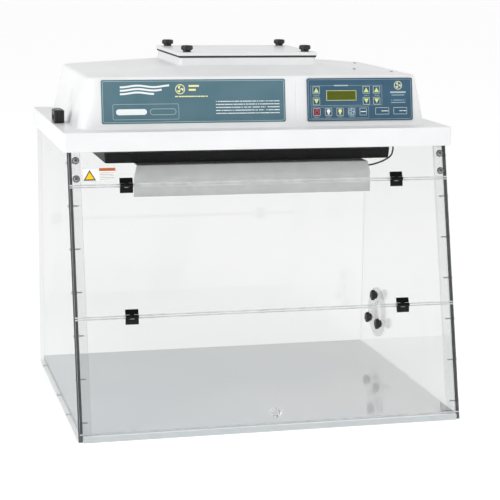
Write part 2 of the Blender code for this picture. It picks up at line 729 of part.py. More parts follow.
# ---------------------------------------------------------------- access port
def make_port():
    """Round clear cover over the hole in the right wall, held inside by three hand knobs."""
    wall = WIDTH / 2 - SIDE_THICK
    thick = 0.004
    plate = rod("port_cover", PORT_COVER_R, 0, thick, 32)
    holes = []
    for x, y in port_knob_places():
        hole = rod("stud_hole", STUD_R + STUD_PLAY, -0.01, 0.02, 12)
        holes.append(moved(hole, Matrix.Translation((x, y, 0))))
    inwards = Matrix.Translation((wall - GAP, PORT_Y, PORT_Z)) @ Matrix.Rotation(-math.pi / 2, 4, "Y")
    cover = add("port_cover", combine("port_cover", plate, cuts=holes), "clear_acrylic", inwards)
    knob = lobed_knob("port_knob", GAP, GAP + 0.0145, -thick)
    for name, (x, y) in zip(("top", "front", "back"), port_knob_places()):
        place = inwards @ Matrix.Translation((x, y, thick))
        add(f"{name}_port_knob", knob, "black_plastic", place, cover)


def port_knob_places():
    """Knob middles on the cover: one on top, then one towards the front and one towards the back."""
    angles = [math.radians(angle) for angle in (0, 240, 120)]
    return [(PORT_KNOB_R * math.cos(a), PORT_KNOB_R * math.sin(a)) for a in angles]


clear_scene()
make_enclosure()
make_front()
make_housing()
make_filter_cover()
make_controls()
make_power_inlet()
make_filter_tray()
make_blower()
make_lamp()
make_port()
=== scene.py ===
# %% [markdown]
# # A clear-walled fume workstation for the bench
#
# The object is a see-through acrylic cabinet with a white blower housing on top. The lesson
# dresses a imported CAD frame: every hard piece already has its place and its joint, and each
# cell below gives one part of the cabinet its final mesh and its finish.
#
# Everything is in metres, +Z up, +X to the user's right and -Y towards the user.

# %% Load the frame and keep its box
import math

import bmesh
import bpy
from mathutils import Matrix, Vector


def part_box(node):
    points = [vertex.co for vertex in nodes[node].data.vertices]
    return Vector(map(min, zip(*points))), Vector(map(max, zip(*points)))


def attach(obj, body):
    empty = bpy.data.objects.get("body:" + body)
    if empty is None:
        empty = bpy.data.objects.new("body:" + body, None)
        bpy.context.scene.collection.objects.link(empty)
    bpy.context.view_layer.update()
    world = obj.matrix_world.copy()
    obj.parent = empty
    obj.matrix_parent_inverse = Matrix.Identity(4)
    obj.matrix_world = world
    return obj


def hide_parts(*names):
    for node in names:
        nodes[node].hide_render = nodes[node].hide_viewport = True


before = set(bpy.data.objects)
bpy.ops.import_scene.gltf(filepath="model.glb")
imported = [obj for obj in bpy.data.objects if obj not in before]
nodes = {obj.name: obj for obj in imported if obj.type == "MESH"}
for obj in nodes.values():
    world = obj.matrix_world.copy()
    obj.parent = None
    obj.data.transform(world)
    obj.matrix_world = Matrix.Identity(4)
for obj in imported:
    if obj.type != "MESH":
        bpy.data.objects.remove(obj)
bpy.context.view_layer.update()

# %% [markdown]
# ## Where the viewer stands
#
# The cabinet is seen from the left of its middle and a little above. A long lens keeps the
# upright edges nearly parallel. The camera could be aimed with a Track To constraint, but
# plain angles are easier to read: turn, tip and a touch of roll, in that order.

# %% Camera
EYE = Vector((-0.82266, -3.32177, 0.97447))
TURN, TIP, ROLL = (math.radians(angle) for angle in (14.31, 10.86, 0.74))
camera = bpy.data.objects.new("camera", bpy.data.cameras.new("camera"))
bpy.context.scene.collection.objects.link(camera)
level = Matrix.Rotation(-TURN, 4, "Z") @ Matrix.Rotation(math.pi / 2 - TIP, 4, "X")
camera.matrix_world = Matrix.Translation(EYE) @ level @ Matrix.Rotation(ROLL, 4, "Z")
camera.data.sensor_width = 36
camera.data.lens = 112.99
camera.data.clip_end = 200
bpy.context.scene.camera = camera
bpy.context.scene.view_settings.view_transform = "Standard"
print("camera:", round(EYE.length, 2), "m away, lens", camera.data.lens, "mm")

# %% [markdown]
# ## Shader maths that reads like maths
#
# Shader nodes are powerful but wordy in Python. One small class wraps a socket and turns
# `+`, `-`, `*` and `/` into Math nodes, so a mask is one line. A second class is a finish:
# one material with one way to add any node. What changes over a surface is worked out with
# these; what stays the same everywhere is typed straight onto the shader.

# %% The Value and Finish classes
class Value:
    """One number that changes over a surface."""

    def __init__(self, finish, socket):
        self.finish = finish
        self.socket = socket

    def math(self, operation, *others, clamp=False):
        terms = dict(enumerate((self, *others)))
        return self.finish.node("ShaderNodeMath", {"operation": operation, "use_clamp": clamp}, terms)

    def __add__(self, other):
        return self.math("ADD", other)

    def __sub__(self, other):
        return self.math("SUBTRACT", other)

    def __rsub__(self, other):
        terms = {0: other, 1: self}
        return self.finish.node("ShaderNodeMath", {"operation": "SUBTRACT"}, terms)

    def __mul__(self, other):
        return self.math("MULTIPLY", other)

    def __truediv__(self, other):
        return self.math("DIVIDE", other)

    def __abs__(self):
        return self.math("ABSOLUTE")

    __radd__ = __add__
    __rmul__ = __mul__

    def most(self, other):
        return self.math("MAXIMUM", other)

    def least(self, other):
        return self.math("MINIMUM", other)

    def ease(self, low, high, first=0.0, last=1.0):
        """Goes smoothly from first to last as this value goes from low to high."""
        settings = {"interpolation_type": "SMOOTHSTEP", "clamp": True}
        return self.finish.node("ShaderNodeMapRange", settings, {0: self, 1: low, 2: high, 3: first, 4: last})


class Finish:
    """One material: a Principled shader and the nodes that feed it."""

    def __init__(self, name, **plain):
        self.material = bpy.data.materials.new(name)
        self.material.use_nodes = True
        self.tree = self.material.node_tree
        self.shader = self.tree.nodes["Principled BSDF"]
        self.output = self.tree.nodes["Material Output"]
        self.place = None
        self.feed(self.shader, plain)

    def feed(self, node, terms):
        for key, term in terms.items():
            key = key.replace("_", " ") if isinstance(key, str) else key
            if isinstance(term, Value):
                self.tree.links.new(term.socket, node.inputs[key])
            elif isinstance(term, bpy.types.NodeSocket):
                self.tree.links.new(term, node.inputs[key])
            elif isinstance(term, tuple) and len(term) == 3 and node.inputs[key].type == "RGBA":
                node.inputs[key].default_value = (*term, 1.0)
            else:
                node.inputs[key].default_value = term

    def node(self, kind, settings, terms, output=0):
        """Any node: its settings first, then the values or links of its sockets."""
        made = self.tree.nodes.new(kind)
        for key, setting in settings.items():
            setattr(made, key, setting)
        self.feed(made, terms)
        return Value(self, made.outputs[output])

    def where(self):
        """The piece's own coordinates, in metres."""
        if self.place is None:
            self.place = self.node("ShaderNodeTexCoord", {}, {}, "Object")
        return self.place

    def across(self, stretch, shift=(0.0, 0.0, 0.0)):
        """Coordinates stretched by different amounts along x, y and z."""
        terms = {"Vector": self.where(), "Location": shift, "Scale": stretch}
        return self.node("ShaderNodeMapping", {}, terms)

    def axes(self):
        """x, y and z of the piece's own coordinates, as three values."""
        split = self.node("ShaderNodeSeparateXYZ", {}, {0: self.where()})
        return [Value(self, socket) for socket in split.socket.node.outputs]

    def noise(self, per_metre, detail=2.0, rough=0.5, vector=None):
        """Cloudy noise from 0 to 1, with so many features to the metre."""
        terms = {"Vector": vector or self.where(), "Scale": per_metre, "Detail": detail, "Roughness": rough}
        return self.node("ShaderNodeTexNoise", {}, terms)

    def blend(self, share, first, second):
        """first where share is 0 and second where it is 1."""
        return self.node("ShaderNodeMix", {"data_type": "RGBA"}, {0: share, 6: first, 7: second}, 2)

    def bump(self, height, distance, strength=1.0, under=None):
        terms = {"Height": height, "Distance": distance, "Strength": strength}
        if under is not None:
            terms["Normal"] = under
        return self.node("ShaderNodeBump", {}, terms)

    def set(self, **terms):
        self.feed(self.shader, terms)
        return self.material


print("shader classes ready")

# %% [markdown]
# ## The white housing plastic
#
# The housing is vacuum-formed ABS: white, satin, with the very faint orange peel of a sheet
# drawn over a mould. A flat white would look like plaster, so three things vary: the tone in
# wide soft clouds, the gloss in smaller ones, and a low bump with features about a
# millimetre wide. Hairline scuffs come from noise squeezed some fifty times along one axis.

# %% White shell
def white_plastic(name, colour=(0.76, 0.765, 0.77), gloss=0.30):
    finish = Finish(name, IOR=1.5)
    clouds = finish.noise(9, 3)
    peel = finish.noise(700, 2)
    scuffs = finish.noise(6, 2, 0.6, finish.across((3.0, 3.0, 160.0))).ease(0.69, 0.76)
    dull = tuple(part * 0.955 for part in colour)
    return finish.set(
        Base_Color=finish.blend(clouds.ease(0.35, 0.70), colour, dull),
        Roughness=gloss + 0.10 * finish.noise(45, 2) + 0.14 * scuffs,
        Normal=finish.bump(peel + 1.5 * finish.noise(160, 1), 0.00004, 0.55),
    )


shell_white = white_plastic("shell_white")
cover_white = white_plastic("cover_white", (0.73, 0.735, 0.74), 0.26)
print("white plastics ready")

# %% [markdown]
# ## Clear acrylic, and its sawn edges
#
# The walls are cast acrylic sheet. Glass from the Principled shader bends light as the real
# sheet does, which is what draws the double lines at every edge. Light from the lamps would
# be shut out by it, so for shadow rays alone the sheet turns into plain Transparent.
#
# The broad faces carry wipe marks: patches where the gloss is a little lower. The sawn edges
# are another material, because a saw leaves fine ridges that scatter light. Sheets that are
# met almost edge-on would bend the view so much that they look like mirrors, so they get a
# plainer finish: see-through by its alpha, with a faint grey film.

# %% Acrylic finishes
def let_lamps_through(finish, tint):
    """Mix the shader with a Transparent one that only shadow rays meet."""
    clear = finish.node("ShaderNodeBsdfTransparent", {}, {"Color": tint})
    shadow = finish.node("ShaderNodeLightPath", {}, {}, "Is Shadow Ray")
    shader = finish.shader.outputs[0]
    mixed = finish.node("ShaderNodeMixShader", {}, {0: shadow, 1: shader, 2: clear})
    finish.feed(finish.output, {"Surface": mixed})


def clear_sheet(name):
    finish = Finish(name, Transmission_Weight=1.0, IOR=1.49)
    wiped = finish.noise(7, 3, 0.6, finish.across((1.0, 1.0, 0.35))).ease(0.52, 0.78)
    hair = finish.noise(4, 3, 0.7, finish.across((90.0, 90.0, 2.5))).ease(0.70, 0.78)
    finish.set(
        Base_Color=finish.blend(wiped, (0.945, 0.950, 0.946), (0.925, 0.933, 0.930)),
        Roughness=0.004 + 0.030 * wiped + 0.05 * hair,
    )
    let_lamps_through(finish, (0.97, 0.98, 0.98))
    return finish.material


def sawn_edge(name, colour, gloss=0.22):
    """Sheet edge: saw ridges across a tinted, half-scattering face."""
    finish = Finish(name, IOR=1.49, Transmission_Weight=0.0)
    saw = finish.noise(1500, 2, 0.6)
    light = tuple(part * 1.25 for part in colour)
    return finish.set(
        Base_Color=finish.blend(finish.noise(60, 3).ease(0.3, 0.7), colour, light),
        Roughness=gloss + 0.25 * saw,
        Normal=finish.bump(saw, 0.00005, 0.5),
    )


def side_sheet(name):
    """A sheet seen almost edge-on: plain see-through, with a faint grey film and wipe marks."""
    finish = Finish(name, IOR=1.49)
    wiped = finish.noise(5, 3, 0.6, finish.across((1.0, 1.0, 0.4))).ease(0.45, 0.80)
    hair = finish.noise(4, 3, 0.7, finish.across((90.0, 90.0, 2.5))).ease(0.70, 0.78)
    return finish.set(
        Base_Color=(0.21, 0.22, 0.225),
        Alpha=0.16 + 0.05 * wiped + 0.05 * hair,
        Roughness=0.03 + 0.05 * wiped + 0.08 * hair,
    )


clear_acrylic = clear_sheet("clear_acrylic")
side_acrylic = side_sheet("side_acrylic")
bright_edge = sawn_edge("bright_edge", (0.50, 0.52, 0.525))
# Painted shade: a near-black edge for the darkness a clear sheet's edge shows from the front.
dark_edge = sawn_edge("dark_edge", (0.10, 0.105, 0.11), gloss=0.5)
print("acrylic ready")

# %% [markdown]
# ## Helpers that turn outlines into meshes
#
# Three small builders make nearly every piece: a body turned on an axis like on a lathe, a
# slab with rounded corners, and a copy of a frame piece whose sharp edges are eased with a
# bevel. A real edge is never perfectly sharp, and the thin highlight on it is what makes
# plastic and metal read as solid. The last helper puts such a copy in the frame piece's place.

# %% Mesh helpers
def dress(name, bm, materials, smooth=35):
    """Finish a bmesh into an object with smooth shading up to an angle."""
    bmesh.ops.recalc_face_normals(bm, faces=bm.faces)
    mesh = bpy.data.meshes.new(name)
    bm.to_mesh(mesh)
    bm.free()
    for material in materials:
        mesh.materials.append(material)
    mesh.shade_smooth()
    mesh.set_sharp_from_angle(angle=math.radians(smooth))
    piece = bpy.data.objects.new(name, mesh)
    bpy.context.scene.collection.objects.link(piece)
    even_normals(piece)
    return piece


def even_normals(piece):
    """Let the widest faces decide the shading, so a bevel never bends the light on a flat face."""
    even = piece.modifiers.new("even_normals", "WEIGHTED_NORMAL")
    even.keep_sharp = True
    even.weight = 100


def settle(piece, body, slot, *stands_for):
    """Give a piece its body and hide the frame pieces it stands for. The slot argument is not used."""
    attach(piece, body)
    if stands_for:
        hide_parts(*stands_for)
    return piece


def ring_of(bm, points, place=Matrix()):
    return [bm.verts.new(place @ Vector(point)) for point in points]


def skin(bm, rings, closed=False, caps=True, material=0):
    """Join rings of the same count into a skin, and cap the ends."""
    pairs = list(zip(rings, rings[1:])) + ([(rings[-1], rings[0])] if closed else [])
    for one, two in pairs:
        for i in range(len(one)):
            j = (i + 1) % len(one)
            bm.faces.new([one[i], one[j], two[j], two[i]]).material_index = material
    if caps and not closed:
        bm.faces.new(rings[0]).material_index = material
        bm.faces.new(rings[-1]).material_index = material


def hexagon(angle):
    """Radius of a hexagon of unit half-width in a direction."""
    turn = angle % (math.pi / 3) - math.pi / 6
    return 1 / math.cos(turn)


def turned(bm, profile, place=Matrix(), sides=32, material=0):
    """A (radius, height, shape) profile turned about Z. A shape bends the circle."""
    rings = []
    for radius, height, *shape in profile:
        points = []
        for i in range(sides):
            angle = 2 * math.pi * i / sides
            reach = radius * (shape[0](angle) if shape else 1.0)
            points.append((reach * math.cos(angle), reach * math.sin(angle), height))
        rings.append(ring_of(bm, points, place))
    skin(bm, rings, material=material)


def rounded(half_x, half_z, radius, steps=6):
    """Corner points of a rounded rectangle, anticlockwise."""
    points = []
    for turn, (sx, sz) in enumerate(((1, 1), (-1, 1), (-1, -1), (1, -1))):
        for step in range(steps + 1):
            angle = math.pi / 2 * (turn + step / steps)
            x = sx * (half_x - radius) + radius * math.cos(angle)
            points.append((x, sz * (half_z - radius) + radius * math.sin(angle)))
    return points


def slab(bm, half_x, half_z, thick, radius, ease=0.0002, place=Matrix(), material=0):
    """A rounded plate in the XZ plane: its back at y = 0, its eased front at y = -thick."""
    rings = []
    for inset, y in ((0, 0), (0, ease - thick), (ease * 0.3, ease * 0.3 - thick), (ease, -thick)):
        outline = rounded(half_x - inset, half_z - inset, max(radius - inset, 0.0001))
        rings.append(ring_of(bm, [(x, y, z) for x, z in outline], place))
    skin(bm, rings, material=material)


def frame_copy(bm, node):
    """The frame piece's own shape, with its flat faces merged."""
    bm.from_mesh(nodes[node].data)
    bmesh.ops.remove_doubles(bm, verts=bm.verts, dist=0.000002)
    bmesh.ops.dissolve_limit(bm, angle_limit=0.02, verts=bm.verts, edges=bm.edges)


def ease_edges(bm, ease, segments=2, sharp=30):
    """Bevel the edges whose faces turn by more than so many degrees."""
    folded = [e for e in bm.edges if len(e.link_faces) == 2]
    bevel(bm, [e for e in folded if e.calc_face_angle() > math.radians(sharp)], ease, segments)


def bevel(bm, edges, width, segments=2, clamp=True):
    bmesh.ops.bevel(
        bm, geom=edges, offset=width, segments=segments, profile=0.5, affect="EDGES", clamp_overlap=clamp)


def eased_copy(bm, node, ease, segments=2, sharp=30):
    """The frame piece's own shape, with its sharp edges bevelled."""
    frame_copy(bm, node)
    ease_edges(bm, ease, segments, sharp)


def refit(name, node, body, slot, material, ease, segments=2, sharp=30, smooth=35):
    """Swap a frame piece for an eased copy of itself in its final finish."""
    bm = bmesh.new()
    eased_copy(bm, node, ease, segments, sharp)
    return settle(dress(name, bm, (material,), smooth), body, slot, node)


print("helpers ready")

# %% [markdown]
# ## The slope of the front and of the control face
#
# Two planes carry most of the detail: the front leans back by about 14 degrees and the
# control face by 9. Each gets a matrix whose z axis runs up the slope and whose -y axis
# points out of it, so pieces can be laid out flat and then placed. The angles are typed in;
# the feet of both planes are read from the frame's own boxes.

# %% Slopes
FRONT_LEAN = math.radians(13.93)
FRONT_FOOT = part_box("base_plate")[0].y
FACE_LEAN = math.radians(9.0)
PLATE_FOOT = 0.0112  # from the foot of the control face up to the label and the keypad
FACE_FOOT = Vector((0, -0.150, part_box("front_label")[0].z - PLATE_FOOT * math.cos(FACE_LEAN)))


def on_front(x, z, out=0.0):
    """A place on the outer face of the sloping front, at a height, turned to the slope."""
    turn = Matrix.Rotation(-FRONT_LEAN, 4, "X")
    face = Matrix.Translation((x, FRONT_FOOT + z * math.tan(FRONT_LEAN), z))
    return face @ turn @ Matrix.Translation((0, -out, 0))


def on_face(x, up, out=0.0):
    """A place on the control face: across, up the slope, and out from it."""
    turn = Matrix.Rotation(-FACE_LEAN, 4, "X")
    return Matrix.Translation(FACE_FOOT) @ turn @ Matrix.Translation((x, -out, up))


print("control face starts at z =", round(FACE_FOOT.z, 4), "and the front at y =", round(FRONT_FOOT, 4))

# %% [markdown]
# ## The clear walls
#
# Eight sheets make the enclosure: the back, two sides, two narrow strips behind the front,
# the fixed panel and the two doors under it. Their shapes are right in the frame, so each is
# an eased copy of it. Faces across the sheet's thickness get the sawn-edge material. The
# front edges of the side walls and the ends of the front sheets are painted almost black,
# a painted shade for the darkness that a clear sheet's edge shows from the front.
# Where the front folds, the long edges have a small flat chamfer that catches a bright line.

# %% Wall panels
SIDEWAYS, FORWARD, UPWARD = Vector((1, 0, 0)), Vector((0, 1, 0)), Vector((0, 0, 1))
OUT_OF_FRONT = Vector((0, math.cos(FRONT_LEAN), -math.sin(FRONT_LEAN)))
FOLD_CHAMFER = 0.0026
SHEET_EASE = 0.0005


def mark_edges(bm, thin_axis, dark=None):
    """Broad faces take the first material, sawn faces the second, and the dark ones the third."""
    for face in bm.faces:
        face.normal_update()
        if abs(face.normal.dot(thin_axis)) > 0.98:
            face.material_index = 0
        else:
            face.material_index = 2 if dark and dark(face) else 1


def foremost(face):
    """The front edges of a side wall."""
    return face.normal.y < -0.5 and face.calc_center_median().y < 0.0


def at_the_ends(face):
    """The left and right ends of a front sheet."""
    return abs(face.normal.x) > 0.5


def runs_sideways(edge):
    return abs(edge.verts[0].co.x - edge.verts[1].co.x) > 0.99 * edge.calc_length()


def sheet_panel(name, node, body, thin_axis, clear=clear_acrylic, edge=bright_edge, fold=0.0, dark=None):
    """An acrylic sheet: broad faces clear, sawn faces in the edge material."""
    bm = bmesh.new()
    frame_copy(bm, node)
    if fold:
        bevel(bm, list(filter(runs_sideways, bm.edges)), fold, 1)
    ease_edges(bm, SHEET_EASE)
    mark_edges(bm, thin_axis, dark)
    return settle(dress(name, bm, (clear, edge, dark_edge), 30), body, "clear_acrylic", node)


# The front edges of the side walls and the ends of the front sheets take the near-black edge: painted shade.
sheet_panel("left_wall", "left_side_panel", "cabinet", SIDEWAYS, side_acrylic, side_acrylic, 0.0, foremost)
sheet_panel("right_wall", "right_side_panel", "cabinet", SIDEWAYS, clear_acrylic, side_acrylic, 0.0, foremost)
sheet_panel("back_wall", "back_panel", "cabinet", FORWARD, edge=side_acrylic)
for name, node, body in (
    ("fixed_front", "front_fixed_panel", "cabinet"),
    ("middle_door", "middle_door_panel", "middle_door"),
    ("lower_door", "lower_door_panel", "lower_door"),
):
    sheet_panel(name, node, body, OUT_OF_FRONT, fold=FOLD_CHAMFER, dark=at_the_ends)
for side in ("left", "right"):
    sheet_panel(f"{side}_strip", f"{side}_front_strip", "cabinet", OUT_OF_FRONT, edge=side_acrylic)
print("8 clear panels")

# %% [markdown]
# ## The work floor
#
# The floor is a thick opal acrylic plate. Opal sheet is milk-white: its colour comes from below a
# hard, mirror-smooth face. That is a plain diffuse colour under a clear gloss with the
# refraction index of acrylic, and the gloss mirrors the walls at a low angle by itself. Fine
# wipe swirls in the roughness keep the mirror from looking like polished glass. The colour
# is also painted darker towards the plate's left end, with a little noise in the change:
# a painted shade for the shade that falls there.

# %% Work floor
def opal_sheet():
    finish = Finish("opal_sheet", IOR=1.49, Specular_IOR_Level=0.62)
    swirls = finish.noise(16, 4, 0.65).ease(0.40, 0.72)
    hair = finish.noise(5, 3, 0.7, finish.across((60.0, 3.0, 3.0))).ease(0.68, 0.74)
    # Painted shade: the colour goes from darker at the plate's left end to lighter at its right.
    sideways = (finish.axes()[0] * 0.9 + finish.noise(3, 2)).ease(0.15, 0.95)
    milk_and_painted_shade = finish.blend(sideways, (0.86, 0.90, 0.94), (0.97, 0.975, 0.98))
    return finish.set(Base_Color=milk_and_painted_shade, Roughness=0.045 + 0.05 * swirls + 0.08 * hair)


def opal_rim():
    finish = Finish("opal_rim", IOR=1.49)
    saw = finish.noise(1200, 2, 0.6)
    return finish.set(
        Base_Color=finish.blend(finish.noise(30, 2), (0.46, 0.49, 0.50), (0.54, 0.57, 0.58)),
        Roughness=0.2 + 0.2 * saw,
        Normal=finish.bump(saw, 0.00004, 0.4),
    )


bm = bmesh.new()
eased_copy(bm, "base_plate", 0.0008)
mark_edges(bm, UPWARD)
settle(dress("work_floor", bm, (opal_sheet(), opal_rim())), "cabinet", "base_acrylic", "base_plate")
print("work floor done")

# %% [markdown]
# ## The blower housing
#
# One formed shell: a skirt that hangs over the walls, a flat ledge, leaning walls, a hipped
# roof and a plinth for the filter cover. All of it is a stack of rounded rectangles, so the
# cheapest exact model is a skin over rings, each a height, a half width, a front, a back and
# a corner radius. Corners between rings are rounded too: each is swapped for a short curve
# between its neighbours, which mixes all five numbers at once. A subdivision surface would
# round everything by a similar amount, and could not keep the ledge flat.

# %% Housing shell
def bent(t, start, corner, end):
    """A place on a short curve that swaps a corner for a bend, at t from 0 to 1."""
    return (1 - t) ** 2 * start + 2 * t * (1 - t) * corner + t * t * end


def curve_through(chain, bends):
    """Swap chosen members of a chain of number lists for short curves."""
    rounded_chain = []
    for i, here in enumerate(chain):
        reach, steps = bends.get(i, (0, 0))
        if not steps:
            rounded_chain.append(here)
            continue
        ends = []
        for other in (chain[i - 1], chain[i + 1]):
            gap = math.dist(here[:4], other[:4])
            share = min(0.48, reach / gap)
            ends.append([a + (b - a) * share for a, b in zip(here, other)])
        for step in range(steps + 1):
            rounded_chain.append([bent(step / steps, *three) for three in zip(ends[0], here, ends[1])])
    return rounded_chain


def ring_points(height, half, front, back, radius, steps=10):
    middle = (front + back) / 2
    outline = rounded(half, (back - front) / 2, radius, steps)
    return [(x, middle + y, height) for x, y in outline]


housing_low, housing_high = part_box("blower_housing")
SKIRT_FOOT, LEDGE, ROOF_EDGE = housing_low.z, FACE_FOOT.z, 0.713
PLINTH_FOOT, PLINTH_TOP = 0.731, housing_high.z
LEDGE_HALF, ROOF_HALF = 0.3770, 0.3565
FACE_TOP = FACE_FOOT.y + (ROOF_EDGE - LEDGE) * math.tan(FACE_LEAN)
FAN_Y = 0.0625
plinth = (0.1494, FAN_Y - 0.1245, FAN_Y + 0.1245, 0.007)
OPENING = 0.024  # from the plinth's outside in to the edge of its opening
WALL = 0.0035
CEILING_FOOT = 0.604
opening = (plinth[0] - OPENING, plinth[1] + OPENING, plinth[2] - OPENING, 0.005)
inner_plinth = (plinth[0] - WALL, plinth[1] + WALL, plinth[2] - WALL, 0.004)
outside = [
    (SKIRT_FOOT, 0.4118, -0.1948, 0.3322, 0.0035),
    (SKIRT_FOOT, 0.4150, -0.1980, 0.3350, 0.0060),
    (LEDGE, 0.4147, -0.1977, 0.3347, 0.0060),
    (LEDGE + 0.0002, LEDGE_HALF, FACE_FOOT.y, 0.2925, 0.030),
    (ROOF_EDGE, ROOF_HALF, FACE_TOP, 0.2668, 0.026),
    (PLINTH_FOOT, plinth[0] + 0.001, plinth[1] - 0.001, plinth[2] + 0.001, 0.008),
    (PLINTH_TOP, *plinth),
    (PLINTH_TOP, *opening),
]
bends = {1: (0.0012, 3), 2: (0.0028, 5), 3: (0.0024, 5), 4: (0.0085, 8), 5: (0.0050, 6), 6: (0.0010, 3)}
inside = [
    (PLINTH_TOP - WALL, *opening),
    (PLINTH_TOP - WALL, *inner_plinth),
    (PLINTH_FOOT - WALL, *inner_plinth),
    (ROOF_EDGE - WALL, 0.3515 - WALL, FACE_TOP + 0.006 + WALL, 0.2630 - WALL, 0.018),
    (CEILING_FOOT, 0.3765 - WALL, FACE_FOOT.y + WALL, 0.2920 - WALL, 0.025),
    (CEILING_FOOT, 0.4115, -0.1940, 0.3315, 0.005),
]
bm = bmesh.new()
shell_rings = [ring_of(bm, ring_points(*size)) for size in curve_through(outside, bends) + inside]
skin(bm, shell_rings, closed=True)
housing = dress("housing", bm, (shell_white,), 40)
housing.modifiers.clear()
print("housing rings:", len(shell_rings))

# %% [markdown]
# Two things are pressed into the shell: a shallow oval dish in the left wall, which leaves
# room for fingers beside the mains inlet, and an upright groove between the label and the
# keypad, where two halves of the mould's insert met. Both are cut with a Boolean modifier,
# because a bump map alone would vanish at the silhouette.

# %% Pressed details of the shell
def cutter(name, bm):
    tool = dress(name, bm, (shell_white,), 40)
    tool.modifiers.clear()
    cut = housing.modifiers.new(name, "BOOLEAN")
    cut.operation = "DIFFERENCE"
    cut.solver = "EXACT"
    cut.object = tool
    return tool


wall_lean = math.atan2(LEDGE_HALF - ROOF_HALF, ROOF_EDGE - LEDGE)
DISH_MIDDLE = (-0.3715, 0.024, 0.6480)
DISH_SIZE = (0.0070, 0.022, 0.034, 1.0)
dish = bmesh.new()
bmesh.ops.create_uvsphere(dish, u_segments=40, v_segments=24, radius=1.0)
dish.transform(Matrix.Rotation(wall_lean, 4, "Y") @ Matrix.Diagonal(DISH_SIZE))
dish.transform(Matrix.Translation(DISH_MIDDLE))
GROOVE_X, GROOVE_RADIUS, GROOVE_ENDS = 0.0848, 0.0022, (0.012, 0.0985)
groove = bmesh.new()
turned(groove, [(GROOVE_RADIUS, end) for end in GROOVE_ENDS], on_face(GROOVE_X, 0.0, 0.0012), 20)
tools = [cutter("dish", dish), cutter("groove", groove)]
bpy.context.view_layer.update()
graph = bpy.context.evaluated_depsgraph_get()
carved = bpy.data.meshes.new_from_object(housing.evaluated_get(graph))
housing.modifiers.clear()
housing.data = carved
carved.shade_smooth()
carved.set_sharp_from_angle(angle=math.radians(38))
even_normals(housing)
for tool in tools:
    bpy.data.objects.remove(tool)
settle(housing, "cabinet", "white_shell", "blower_housing")
print("housing after carving:", len(carved.polygons), "faces")

# %% [markdown]
# ## Filter cover and its gasket
#
# The cover is a flat painted plate with a small rounded edge, and it squeezes a dark foam
# gasket onto the plinth. Both are eased copies of the frame's plates, because their four
# stud holes are already in the right places. Foam shows its pores, so its finish is mostly
# bump; pores come from a Voronoi pattern, whose cells are round like bubbles.

# %% Cover and gasket
def foam(name):
    finish = Finish(name, IOR=1.4)
    terms = {"Vector": finish.where(), "Scale": 1600.0, "Randomness": 1.0}
    pores = finish.node("ShaderNodeTexVoronoi", {"feature": "F1"}, terms)
    return finish.set(
        Base_Color=finish.blend(pores.ease(0.1, 0.6), (0.018, 0.018, 0.019), (0.055, 0.055, 0.056)),
        Roughness=0.75 + 0.2 * pores,
        Normal=finish.bump(pores, 0.0003, 0.8),
    )


for name, node, body, slot, material, ease in (
    ("cover_plate", "filter_cover", "filter_cover", "white_shell", cover_white, 0.0012),
    ("cover_seal", "cover_gasket", "cabinet", "gasket_rubber", foam("seal_foam"), 0.0005),
):
    refit(name, node, body, slot, material, ease)
print("cover and seal done")

# %% [markdown]
# ## Black plastics
#
# Four black plastics meet here and must not look alike. The hinges are glossy moulded nylon,
# the hand knobs are a satin phenolic with a pebbled skin, the inlet is a duller box, and the
# tray is powder-coated steel with the fine orange peel of baked powder. They share a recipe
# and differ in grain size, depth and gloss.

# %% Black finishes
def black_plastic(name, gloss, grain, depth, shade=0.012, shine=0.5):
    finish = Finish(name, IOR=1.5, Specular_IOR_Level=shine)
    pebbles = finish.noise(grain, 2, 0.5)
    dust = finish.noise(120, 4, 0.7).ease(0.58, 0.85)
    dark = (shade, shade, shade * 1.05)
    light = (shade * 2.3, shade * 2.3, shade * 2.2)
    return finish.set(
        Base_Color=finish.blend(dust, dark, light),
        Roughness=gloss + 0.12 * pebbles + 0.18 * dust,
        Normal=finish.bump(pebbles, depth, 0.6),
    )


hinge_black = black_plastic("hinge_black", 0.20, 900, 0.00003, 0.004, 0.2)
knob_black = black_plastic("knob_black", 0.34, 1400, 0.00007, 0.014)
inlet_black = black_plastic("inlet_black", 0.40, 1800, 0.00006, 0.016)
tray_black = black_plastic("tray_black", 0.42, 1100, 0.00006, 0.006, 0.25)
cable_black = black_plastic("cable_black", 0.38, 600, 0.00004, 0.013)
print("black finishes ready")

# %% [markdown]
# ## Metals
#
# Screws and hinge pins are zinc-plated, the lamp shade is brushed sheet aluminium. A metal
# is almost all reflection, so its look is in the roughness: brushed sheet has streaks along
# one direction, made with noise that is squeezed across the streaks. The shade's sheet has a
# matt lacquer on it, so it is mostly pale grey and only a little metallic.

# %% Metal finishes
def metal(name, colour, gloss, streaks=(1.0, 1.0, 1.0), grain=500.0, depth=0.00002, metallic=1.0):
    finish = Finish(name, Metallic=metallic)
    lines = finish.noise(grain, 3, 0.6, finish.across(streaks))
    film = finish.noise(25, 3, 0.6).ease(0.35, 0.8)
    dull = tuple(part * 0.82 for part in colour)
    return finish.set(
        Base_Color=finish.blend(0.6 * film + 0.3 * lines, colour, dull),
        Roughness=gloss + 0.16 * lines + 0.10 * film,
        Normal=finish.bump(lines, depth, 0.5),
    )


zinc = metal("zinc_plate", (0.62, 0.63, 0.64), 0.18, grain=900.0)
dark_zinc = metal("dark_zinc", (0.40, 0.41, 0.42), 0.24, grain=900.0)
brushed = metal("brushed_aluminium", (0.82, 0.83, 0.82), 0.42, (0.02, 1.0, 1.0), 2600.0, 0.00003, 0.15)
pale_zinc = metal("pale_zinc", (0.66, 0.67, 0.68), 0.35, grain=900.0, metallic=0.4)
motor_metal = metal("cast_motor", (0.42, 0.43, 0.45), 0.38, grain=300.0, depth=0.0001)
brass = metal("contact_brass", (0.75, 0.60, 0.32), 0.25)
print("metals ready")

